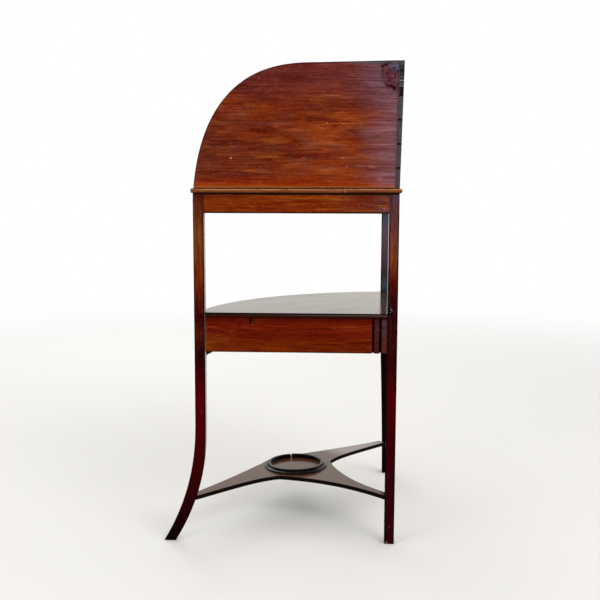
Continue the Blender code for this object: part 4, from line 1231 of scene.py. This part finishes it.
class WASHSTAND_OT_beads(bpy.types.Operator):
    """Half-round bead nailed round the top, pieced on the right side"""
    bl_idname = "washstand.beads"
    bl_label = "Top beads"

    def section(self, scale):
        """Half an ellipse, flat at the back: depth sin a, height cos a; scale is 1 for the full bead."""
        turn = np.linspace(0, math.pi, bead_points)
        half = (bead_high[2] - bead_low[2]) / 2
        scale = scale[:, None]
        lost = (1 - scale) / 2
        depth = -bead_projection * np.sin(turn) * scale - gap
        rise = bead_low[2] + half + half * (np.cos(turn) * (1 - lost) - 0.6 * lost)
        return np.stack([depth, rise], -1)

    def wavering(self, places, waves):
        """1 plus slow sines, each of a height, a pace and a start, as a hand plane leaves a moulding."""
        return 1 + sum(height * np.sin(places * pace + start) for height, pace, start in waves)

    def execute(self, context):
        end = side_length + bead_end_run
        for name, side, start, finish, mitred, lift in (
                ("right_short", 1, 0.0, bead_joint, True, bead_lift),
                ("right_long", 1, bead_joint + gap, end, False, 0),
                ("left", -1, 0.0, end, True, 0)):
            places = np.linspace(start, finish, max(8, int((finish - start) / bead_pitch)))
            whole = np.clip((finish - places) / bead_worn_end, 0, 1) if lift else np.ones(len(places))
            sections = self.section(self.wavering(places, side_bead_waves) * (0.72 + 0.28 * np.sqrt(whole)))
            sections[..., 1] += lift
            stations = np.repeat(places[:, None], bead_points, 1)
            if mitred:
                stations[0] = sections[0, :, 0] + gap / 2
            points, faces, _ = carried(sections, stations)
            make_piece(f"top_bead_{name}", (points, faces, np.repeat(1 - whole, bead_points)), on_side(side),
                       along_grain, "bead", f"bead_{name}", seed=2)
        turn = np.linspace(-1, 1, 121) * (diagonal - math.asin(bow_offset / top_radius) - gap)
        sections = self.section(self.wavering(turn, bow_bead_waves))
        sections[..., 0] = top_radius - sections[..., 0]
        make_piece("top_bead_bow", carried(sections, turn * top_radius), on_bow(top_radius), along_grain,
                   "bead", "bead_bow", seed=4)
        return {"FINISHED"}


class WASHSTAND_OT_gallery(bpy.types.Operator):
    """Splash boards dovetailed at the corner, whose upper edge falls in a full curve, and the soap shelf"""
    bl_idname = "washstand.gallery"
    bl_label = "Gallery"

    def outline(self, start):
        """(along, height): a flat top edge, then a curve x^p + y^p = 1 down to the end of the board."""
        base = top_high[2]
        rise = gallery_rise - gallery_fall
        depth = rise * gallery_curve_depth_share
        power = gallery_curve_power_share
        low_share = (depth - rise) / depth
        end_share = (1 - low_share ** power) ** (1 / power)
        reach = side_length - gallery_end_setback - gallery_flat
        turn = np.linspace(math.asin(low_share ** (power / 2)), quarter_turn, 64)
        across = gallery_flat + reach * np.cos(turn) ** (2 / power) / end_share
        up = base + rise - depth * (1 - np.sin(turn) ** (2 / power))
        return [(start, base), (across[0], base), *np.stack([across, up], 1)[1:],
                (start, base + gallery_rise)]

    def wedge(self, low, high, reach, ease, wear):
        """A bar through the corner, whose lower and upper level each differ at its outer and inner end."""
        return bar((0, gallery_thickness), [(0, level) for level in low], [(reach, level) for level in high],
                   ease, wear)

    def joint(self, sizes):
        """Pins of the right board and tails of the left one, cut on the slant through the corner."""
        middles = top_high[2] + pin_first + pin_pitch * np.arange(pin_count)[:, None]
        slant = np.array([pin_face, pin_root]) / 2
        under, over = middles - slant, middles + slant
        lower = np.concatenate([[[gallery_low[2]] * 2], over]) + gap / 2
        upper = np.concatenate([under, [[top_high[2] + gallery_rise] * 2]]) - gap / 2
        pins = [self.wedge(low, high, gallery_thickness, sizes.fine_ease / 3, pin_wear)
                for low, high in zip(under, over)]
        tails = [self.wedge(low, high, gallery_thickness - gap, sizes.fine_ease, thin_wear)
                 for low, high in zip(lower, upper)]
        return joined(*pins), joined(*tails)

    def execute(self, context):
        sizes = context.scene.washstand_sizes
        for side, word, start in ((1, "right", gallery_thickness + gap), (-1, "left", gallery_thickness)):
            outline = softened(self.outline(start), sizes.ease)
            surface = board(outline, 0, gallery_thickness, sizes.ease, sizes.wear_width)
            finish = "near_gallery" if side > 0 else "far_gallery"
            make_piece(f"splash_board_{word}", surface, leaned(standing(side)), face_grain, finish,
                       f"gallery_{word}")
        pins, tails = self.joint(sizes)

        def at_corner(points):
            return leaned(on_side(1))(points[:, [1, 0, 2]])
        make_piece("dovetail_pins", pins, at_corner, cross_grain, "pin")
        make_piece("dovetail_tails", tails, at_corner, along_grain, "end")
        inner = gallery_thickness + gap
        turn = np.linspace(quarter_turn, 0, 41)
        front = inner + soap_shelf_radius * np.stack([np.sin(turn), np.cos(turn)], 1)
        bend = [corner_line(1, *place) for place in front]
        low = top_high[2] + soap_shelf_height
        surface = board(softened([corner_line(1, inner, inner), *bend], sizes.ease), low,
                        low + soap_shelf_thickness, sizes.ease, sizes.wear_width)
        make_piece("soap_ledge", surface, leaned(flat), face_grain, "top", "soap_shelf",
                   seed=7)
        return {"FINISHED"}


class WASHSTAND_OT_shelf(bpy.types.Operator):
    """Middle shelf, notched round the legs, with a black edge"""
    bl_idname = "washstand.shelf"
    bl_label = "Middle shelf"

    def execute(self, context):
        sizes = context.scene.washstand_sizes
        notch = post_width + gap
        leg_edge = side_length - leg_width - gap
        leg_face = leg_depth + gap
        end = leg_reach(shelf_radius)
        right = [corner_line(1, notch, 0), corner_line(1, leg_edge, 0), corner_line(1, leg_edge, leg_face)]
        left = [(-x, y) for x, y in reversed(right)]
        outline = [*right, *bow_line(shelf_radius, end, -end, 80), *left, corner_line(1, notch, notch)]
        surface = board(softened(outline, sizes.fine_ease), shelf_low[2], shelf_high[2], sizes.ease,
                        shelf_wear)
        make_piece("middle_shelf", surface, flat, face_grain, "shelf", "shelf")
        return {"FINISHED"}


class WASHSTAND_OT_case(bpy.types.Operator):
    """Sides of the drawer case, its two loose strips, the rail under the drawer and the dividers"""
    bl_idname = "washstand.case"
    bl_label = "Drawer case"

    def execute(self, context):
        sizes = context.scene.washstand_sizes
        low, high = (0, side_low[2]), (case_side_thickness, side_high[2])
        leg_edge = side_length - leg_width - gap
        start = post_width + gap
        for number, width in enumerate(strip_widths, 1):
            surface = bar((start, start + width), low, high, sizes.fine_ease, strip_wear)
            make_piece(f"loose_strip_{number}", surface, on_side(1), along_grain, "strip",
                       f"case_strip_{number}")
            start += width + strip_gap
        for side, word, first, finish in ((1, "right", start, "case"),
                                          (-1, "left", post_width + gap, "far_case")):
            surface = bar((first, leg_edge), low, high, sizes.fine_ease, sizes.wear_width, gap, 0.3)
            make_piece(f"case_panel_{word}", surface, on_side(side), along_grain, finish,
                       f"case_side_{word}")
        half = leg_reach(rail_middle) * rail_middle
        back, foot = case_radius - apron_depth, rail_low[2]
        outline = softened([(back, side_low[2]), (back + apron_depth / 3, foot), (case_radius, foot),
                            (case_radius, rail_high[2]), (back, rail_high[2])], sizes.ease)
        places = np.linspace(-half, half, 61)
        surface = carried(np.broadcast_to(outline, (len(places), *outline.shape)), places)
        make_piece("rail_under_drawer", surface, on_bow(rail_middle), along_grain, "rail",
                   "front_rail", seed=rail_seed)
        opening = drawer_half_width + slide_fit
        behind = case_radius - divider_depth
        for side, word in hands:
            # The inner face is straight, so that the drawer's sides clear it, and the outer one is radial
            outer = math.asin(side * (opening + divider_width) / case_radius)
            front = sorted((math.asin(side * opening / case_radius), outer))
            rear = sorted((math.asin(side * opening / behind), outer))
            outline = softened([*bow_line(behind, rear[1], rear[0], 1), *bow_line(case_radius, *front, 6)],
                               sizes.fine_ease)
            surface = board(outline, rail_high[2] + gap, side_high[2], sizes.fine_ease, small_wear)
            make_piece(f"upright_{word}", surface, flat, rising_grain, "bow",
                       f"divider_{word}", seed=12 + side)
        return {"FINISHED"}


def bowed_front(start, finish, low, high, thickness, ease):
    """A board with the bow's own curve, between two arc lengths and two levels."""
    return bar(np.linspace(start, finish, 40), (case_radius - thickness, low), (case_radius, high), ease,
               front_wear)


def cock_bead(start, finish, low, high, depth):
    """A thin rounded moulding round a bowed front, with a section of (in, depth behind the face)."""
    across = np.linspace(start, finish, 41)
    up = np.linspace(low, high, 9)
    outline = np.concatenate([np.stack([across, 0 * across + low], 1),
                              np.stack([0 * up + finish, up], 1)[1:-1],
                              np.stack([across, 0 * across + high], 1)[::-1],
                              np.stack([0 * up + start, up], 1)[::-1][1:-1]])
    turn = np.linspace(0, math.pi, 9)
    radius = cock_bead_width / 2
    nose = np.stack([radius - radius * np.cos(turn), radius - cock_bead_proud - radius * np.sin(turn)], 1)
    section = np.concatenate([nose, [(cock_bead_width, depth), (0, depth)]])
    return rim(outline, section)


class WASHSTAND_OT_sham_fronts(bpy.types.Operator):
    """Fixed fronts on both sides of the drawer, each with its cock bead"""
    bl_idname = "washstand.sham_fronts"
    bl_label = "Sham fronts"

    def execute(self, context):
        sizes = context.scene.washstand_sizes
        inner_x = drawer_half_width + slide_fit + divider_width + gap
        start = case_radius * math.asin(inner_x / case_radius)
        finish = case_radius * leg_reach(case_radius)
        low, high = rail_high[2] + gap, side_high[2]
        border = cock_bead_width + gap
        for side, word in hands:
            ends = sorted((side * (start + border), side * (finish - border)))
            surface = bowed_front(*ends, low + border, high - border, dummy_thickness, sizes.fine_ease)
            make_piece(f"sham_front_{word}", surface, on_bow(case_radius), along_grain, "bow",
                       f"dummy_front_{word}", seed=14 + side)
            surface = cock_bead(*sorted((side * start, side * finish)), low, high, dummy_thickness)
            make_piece(f"sham_bead_{word}", surface, face_on_bow(case_radius), face_grain, "top",
                       f"dummy_bead_{word}", seed=15)
        return {"FINISHED"}


class WASHSTAND_OT_drawer(bpy.types.Operator):
    """The drawer: bowed front with its cock bead, oak sides, back and bottom"""
    bl_idname = "washstand.drawer"
    bl_label = "Drawer"

    def execute(self, context):
        sizes = context.scene.washstand_sizes
        frame_low, frame_high = box_of("drawer_bead")
        half = case_radius * math.asin(drawer_half_width / case_radius)
        border = cock_bead_width + gap
        surface = bowed_front(border - half, half - border, front_low[2], front_high[2],
                              drawer_front_thickness, sizes.fine_ease)
        make_piece("bowed_drawer_front", surface, on_bow(case_radius), along_grain, "bow",
                   "drawer_front", "drawer", seed=14)
        surface = cock_bead(-half, half, frame_low[2], frame_high[2], cock_bead_depth)
        make_piece("drawer_cock_bead", surface, face_on_bow(case_radius), face_grain, "top",
                   "drawer_bead", "drawer", seed=15)
        inner_radius = case_radius - drawer_front_thickness - gap
        rear_low, rear_high = box_of("drawer_back")
        for side, word in hands:
            side_box = box_of(f"drawer_side_{word}")
            edges = sorted((side * drawer_half_width, side * (drawer_half_width - drawer_side_thickness)))
            edge = bow_line(inner_radius, math.asin(edges[0] / inner_radius),
                            math.asin(edges[1] / inner_radius), 3)
            rear = rear_high[1] - corner_y
            outline = softened([(edges[1], rear), (edges[0], rear), *edge], sizes.fine_ease)
            surface = board(outline, side_box[0][2], side_box[1][2], sizes.fine_ease, small_wear)
            make_piece(f"drawer_lining_{word}", surface, flat, cross_grain, "oak",
                       f"drawer_side_{word}", "drawer", seed=20 + side)
        surface = bar((rear_low[0], rear_high[0]), (rear_low[1], rear_low[2]), (rear_high[1], rear_high[2]),
                      sizes.fine_ease, small_wear)
        make_piece("drawer_lining_back", surface, lambda points: points, along_grain, "oak",
                   "drawer_back", "drawer", seed=23)
        floor_low, floor_high = box_of("drawer_bottom")
        radius = corner_y + bow_back - floor_low[1]
        turn = math.asin(floor_high[0] / radius)
        rear = floor_high[1] - corner_y
        outline = [(floor_high[0], rear), (floor_low[0], rear), *bow_line(radius, -turn, turn, 30)]
        surface = board(softened(outline, sizes.fine_ease), floor_low[2], floor_high[2], sizes.fine_ease,
                        thin_wear)
        make_piece("drawer_lining_bottom", surface, flat, face_grain, "oak", "drawer_bottom",
                   "drawer", seed=24)
        return {"FINISHED"}


def knob_profile():
    """(radius, height above the face): a domed button with two turned grooves, a waisted neck and a rose."""
    swing = np.linspace(0, math.pi * 0.78, 22)
    outward = np.stack([np.sin(swing), np.cos(swing)], 1)
    button = (0, knob_reach - knob_radius) + knob_radius * outward * (1, 0.96)
    for depth, place, width in knob_grooves:
        button -= depth * np.exp(-((swing - place) / width) ** 2)[:, None] * outward
    fall = np.linspace(0, 1, 9)[1:]
    neck_top = button[-1]
    neck = np.stack([neck_radius + (neck_top[0] - neck_radius) * (1 - fall) ** 3,
                     neck_top[1] + (neck_foot - neck_top[1]) * fall], 1)
    turn = np.linspace(0, math.pi, 9)
    rose = np.stack([rose_radius - rose_thickness / 2 + rose_thickness / 2 * np.sin(turn),
                     gap + rose_thickness / 2 * (1 + np.cos(turn))], 1)
    shank = [(shank_radius, gap), (shank_radius, -shank_length), (0, -shank_length)]
    return np.concatenate([[(0, button[0, 1])], button[1:], neck, rose, shank])


class WASHSTAND_OT_knobs(bpy.types.Operator):
    """Three turned brass knobs, square to the bow"""
    bl_idname = "washstand.knobs"
    bl_label = "Knobs"

    def execute(self, context):
        inner_x = drawer_half_width + slide_fit + divider_width + gap
        aside = (math.asin(inner_x / case_radius) + leg_reach(case_radius)) / 2
        surface = turned(knob_profile(), 56)
        sham_height = (rail_high[2] + gap + side_high[2]) / 2
        drawer_box = box_of("drawer_bead")
        drawer_height = (drawer_box[0][2] + drawer_box[1][2]) / 2
        for node, name, turn, height, body in (
                ("dummy_knob_right", "sham_knob_right", aside, sham_height, "carcase"),
                ("dummy_knob_left", "sham_knob_left", -aside, sham_height, "carcase"),
                ("drawer_knob", "drawer_pull", 0.0, drawer_height, "drawer")):
            out = (math.sin(turn), -math.cos(turn), 0)
            axes = np.array([(math.cos(turn), math.sin(turn), 0), (0, 0, 1), out])
            foot = np.array([0, corner_y + bow_back, height]) + case_radius * axes[2]

            def place(points):
                return foot + points @ axes
            make_piece(name, surface, place, face_grain, "brass", node, body)
        return {"FINISHED"}


class WASHSTAND_OT_stretcher(bpy.types.Operator):
    """Three-armed stretcher with hollow edges"""
    bl_idname = "washstand.stretcher"
    bl_label = "Stretcher"

    def edge(self, end, tip, axis, power):
        """From an arm's end to where its edge meets the next: a share s of the way along one axis, and
        s to a power across it, with s = 1 - (1 - t)^2."""
        share = 1 - (1 - np.linspace(0, 1, 33)) ** 2
        shares = np.stack([share, share ** power] if axis == 0 else [share ** power, share], 1)
        return np.array(end) + (np.array(tip) - np.array(end)) * shares

    def execute(self, context):
        sizes = context.scene.washstand_sizes
        arm_end = arm_end_place - arm_end_width / 2
        middle_y = ring_centre - arm_end_place
        disc = ring_radius + ring_margin
        touch = math.asin(arm_meeting / disc)
        bulge = bow_line(disc, -touch, touch, 20) - (0, bow_back)
        front = self.edge((arm_end, middle_y - arm_end_width / 2), bulge[-1], 0, front_edge_power)
        hollow = self.edge((arm_end, middle_y + arm_end_width / 2), hollow_tip, 0, hollow_front_power)
        back = self.edge((back_arm_end_width / 2, ring_centre - post_width), hollow_tip, 1, hollow_back_power)
        right = np.concatenate([front[-2::-1], hollow, back[-2::-1]])
        outline = np.concatenate([bulge, right, (right * (-1, 1))[::-1]])
        surface = board(softened(outline, sizes.fine_ease), -stretcher_thickness, 0, sizes.ease,
                        stretcher_wear)
        make_piece("hollow_stretcher", surface, on_seat, face_grain, "stretcher",
                   "stretcher", seed=stretcher_seed)
        return {"FINISHED"}


class WASHSTAND_OT_ring(bpy.types.Operator):
    """Moulded ring on the stretcher, bent round until its ends nearly meet"""
    bl_idname = "washstand.ring"
    bl_label = "Stretcher ring"

    def execute(self, context):
        turn = np.linspace(0, math.pi, 13)
        rim_part = np.stack([0.25 - 0.25 * np.cos(turn), 0.78 + 0.22 * np.sin(turn)], 1)
        step = np.array([(0.52, 0.48), (0.56, 0.40)])
        swell = np.linspace(0, quarter_turn, 9)
        base = np.stack([0.60 + 0.38 * np.sin(swell), 0.08 + 0.36 * np.cos(swell)], 1)
        shares = np.concatenate([rim_part, step, base, [(0.98, 0), (0.0, 0)]])
        width = ring_radius - ring_inner_radius
        section = np.stack([ring_inner_radius + shares[:, 0] * width, gap + shares[:, 1] * ring_height], 1)
        half = ring_joint / 2 / ring_inner_radius
        around = np.linspace(ring_joint_turn + half, ring_joint_turn + 2 * math.pi - half, 141)
        sections = np.broadcast_to(section, (len(around), *section.shape))
        points, faces, _ = carried(sections, around)
        wear = np.tile((shares[:, 1] > 0.9) * 1.0, len(around))

        def place(local):
            angle, reach, height = local.T
            return on_seat(np.stack([reach * np.cos(angle), reach * np.sin(angle), height], 1))
        make_piece("moulded_ring", (points, faces, wear), place, along_grain, "ebony",
                   "stretcher_ring", seed=0.4)
        return {"FINISHED"}


class WASHSTAND_OT_inner_pieces(bpy.types.Operator):
    """Finish of the blocks, runners, guides, stops, screws and nuts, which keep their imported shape"""
    bl_idname = "washstand.inner_pieces"
    bl_label = "Inner pieces"

    def execute(self, context):
        words = ("right", "left")
        pine = [f"{kind}_{word}" for kind in ("top_block", "bow_block", "shelf_block") for word in words]
        dress_nodes("pine", *pine)
        # The batten is near black: painted shade in the gaps between the strips.
        dress_nodes("batten", "case_batten")
        oak = [f"drawer_{kind}_{word}" for kind in ("runner", "guide", "stop") for word in words]
        dress_nodes("bare_oak", *oak)
        screws = [f"gallery_screw_{word}_{number}" for word in words for number in (1, 2)]
        dress_nodes("iron", *screws)
        dress_nodes("brass", "drawer_knob_nut", "dummy_knob_right_nut", "dummy_knob_left_nut")
        return {"FINISHED"}


class WASHSTAND_OT_stage(bpy.types.Operator):
    """Pale floor, white background, soft lamps and the camera"""
    bl_idname = "washstand.stage"
    bl_label = "Stage"

    def execute(self, context):
        self.floor()
        self.world(context.scene)
        self.lamps()
        self.camera(context.scene)
        context.scene.view_settings.view_transform = "Standard"
        return {"FINISHED"}

    def floor(self):
        """A wide disc whose pale colour fades to the white of the background at its rim."""
        rings = [(reach, -floor_drop) for reach in floor_reaches]
        points, faces, _ = turned(rings, 96)
        mesh = bpy.data.meshes.new("floor")
        mesh.from_pydata(points, [], faces)
        close_mesh(mesh)
        material = bpy.data.materials.new("Pale painted floor")
        material.use_nodes = True
        tree = material.node_tree
        tree.nodes.clear()
        place = add_node(tree, "ShaderNodeTexCoord", out="Object")
        far = add_node(tree, "ShaderNodeVectorMath", {0: place}, "Value", operation="LENGTH")
        rays = add_node(tree, "ShaderNodeLightPath").outputs
        paint = add_node(tree, "ShaderNodeBsdfDiffuse", {"Color": "#e9e7e2"}, 0)
        dim = add_node(tree, "ShaderNodeBsdfDiffuse", {"Color": "#4a3c2e"}, 0)
        white = add_node(tree, "ShaderNodeEmission", {"Color": (1, 1, 1), "Strength": 1.0}, 0)
        seen = add_node(tree, "ShaderNodeMixShader", {0: rays["Is Glossy Ray"], 1: paint, 2: dim}, 0)
        edge = add_node(tree, "ShaderNodeMapRange", stepped(far, *floor_fade, 0.0, rays["Is Camera Ray"]), 0,
                        interpolation_type="SMOOTHERSTEP")
        mixed = add_node(tree, "ShaderNodeMixShader", {0: edge, 1: seen, 2: white}, 0)
        add_node(tree, "ShaderNodeOutputMaterial", {0: mixed})
        mesh.materials.append(material)
        floor = bpy.data.objects.new("floor", mesh)
        bpy.context.scene.collection.objects.link(floor)

    def world(self, scene):
        """White to the camera. Gloss sees a white wall behind the stand and a dim room before it."""
        world = bpy.data.worlds.new("Studio")
        scene.world = world
        world.use_nodes = True
        tree = world.node_tree
        tree.nodes.clear()
        toward = add_node(tree, "ShaderNodeTexCoord", out="Generated")
        wall = add_node(tree, "ShaderNodeVectorMath", {0: toward, 1: (-1 / root2, -1 / root2, 0)}, "Value",
                        operation="DOT_PRODUCT")
        height = add_node(tree, "ShaderNodeSeparateXYZ", {0: toward}, 2)
        behind = add_node(tree, "ShaderNodeMapRange", stepped(wall, -0.1, 0.35, 0.03, 1.0), 0)
        above = add_node(tree, "ShaderNodeMapRange", stepped(height, 0.35, 0.9, 0.0, 0.7), 0)
        bright = add_node(tree, "ShaderNodeMath", {0: behind, 1: above}, 0, operation="MAXIMUM")
        rays = add_node(tree, "ShaderNodeLightPath").outputs
        mirrored = add_node(tree, "ShaderNodeMath",
                            {0: rays["Is Glossy Ray"], 1: rays["Is Transmission Ray"]}, 0,
                            operation="MAXIMUM")
        even = add_node(tree, "ShaderNodeBackground", {"Color": (1, 1, 1), "Strength": 0.88}, 0)
        room = add_node(tree, "ShaderNodeBackground", {"Color": (0.99, 0.98, 0.92), "Strength": bright}, 0)
        white = add_node(tree, "ShaderNodeBackground", {"Color": (1, 1, 1), "Strength": 1.0}, 0)
        soft = add_node(tree, "ShaderNodeMixShader", {0: mirrored, 1: even, 2: room}, 0)
        seen = add_node(tree, "ShaderNodeMixShader", {0: rays["Is Camera Ray"], 1: soft, 2: white}, 0)
        add_node(tree, "ShaderNodeOutputWorld", {0: seen})

    def lamps(self):
        """Soft lamps on all sides; only the one before the bow shows in the gloss."""
        for name, place, size, power, shown in (("Key", (0.2, 2.6, 2.4), 1.6, 30, False),
                                                ("Fill", (2.9, 0.2, 1.5), 1.4, 11, False),
                                                ("Bow", (-0.9, -2.6, 2.2), 1.6, 18, True)):
            lamp = bpy.data.lights.new(name, "AREA")
            lamp.shape = "DISK"
            lamp.size = size
            lamp.energy = power
            holder = bpy.data.objects.new(name, lamp)
            bpy.context.scene.collection.objects.link(holder)
            aim = Vector((0, 0, 0.5)) - Vector(place)
            holder.location = place
            holder.rotation_euler = aim.to_track_quat("-Z", "Y").to_euler()
            holder.visible_glossy = shown

    def camera(self, scene):
        """The photograph's camera, turned from the near side's own axes into the stand's."""
        yaw, pitch, roll = camera_yaw, camera_pitch, camera_roll
        ahead = Vector((math.sin(yaw) * math.cos(pitch), math.cos(yaw) * math.cos(pitch), -math.sin(pitch)))
        level = Vector((math.cos(yaw), -math.sin(yaw), 0))
        above = level.cross(ahead)
        right = level * math.cos(roll) + above * math.sin(roll)
        up = above * math.cos(roll) - level * math.sin(roll)
        side_axes = Matrix(((-1 / root2, -1 / root2, 0), (1 / root2, -1 / root2, 0), (0, 0, 1)))
        turned_axes = [side_axes @ axis for axis in (right, up, -ahead)]
        place = side_axes @ Vector(camera_place) + Vector((0, corner_y, 0))
        data = bpy.data.cameras.new("Camera")
        data.sensor_width = 36
        data.lens = camera_focus_share * data.sensor_width
        holder = bpy.data.objects.new("Camera", data)
        scene.collection.objects.link(holder)
        matrix = Matrix([(*row, 0) for row in zip(*turned_axes)] + [(0, 0, 0, 1)])
        matrix.translation = place
        holder.matrix_world = matrix
        scene.camera = holder


class WASHSTAND_PT_panel(bpy.types.Panel):
    """Sizes, colours and one button for each group of pieces"""
    bl_label = "Washstand"
    bl_idname = "WASHSTAND_PT_panel"
    bl_space_type = "VIEW_3D"
    bl_region_type = "UI"
    bl_category = "Washstand"

    def draw(self, context):
        layout = self.layout
        for group in (context.scene.washstand_sizes, context.scene.washstand_colours):
            for name in group.__annotations__:
                layout.prop(group, name)
        for piece in piece_operators:
            layout.operator(piece.bl_idname)


piece_operators = (
    WASHSTAND_OT_stage, WASHSTAND_OT_corner_leg, WASHSTAND_OT_front_legs, WASHSTAND_OT_frieze,
    WASHSTAND_OT_basin_top, WASHSTAND_OT_beads, WASHSTAND_OT_gallery, WASHSTAND_OT_shelf, WASHSTAND_OT_case,
    WASHSTAND_OT_sham_fronts, WASHSTAND_OT_drawer, WASHSTAND_OT_knobs, WASHSTAND_OT_stretcher,
    WASHSTAND_OT_ring, WASHSTAND_OT_inner_pieces,
)
classes = (WashstandSizes, WashstandColours, *piece_operators, WASHSTAND_PT_panel)


def register():
    for entry in classes:
        bpy.utils.register_class(entry)
    bpy.types.Scene.washstand_sizes = PointerProperty(type=WashstandSizes)
    bpy.types.Scene.washstand_colours = PointerProperty(type=WashstandColours)


def unregister():
    del bpy.types.Scene.washstand_colours
    del bpy.types.Scene.washstand_sizes
    for entry in reversed(classes):
        bpy.utils.unregister_class(entry)


def main():
    register()
    for piece in piece_operators:
        group, name = piece.bl_idname.split(".")
        getattr(getattr(bpy.ops, group), name)()


if __name__ == "__main__":
    main()
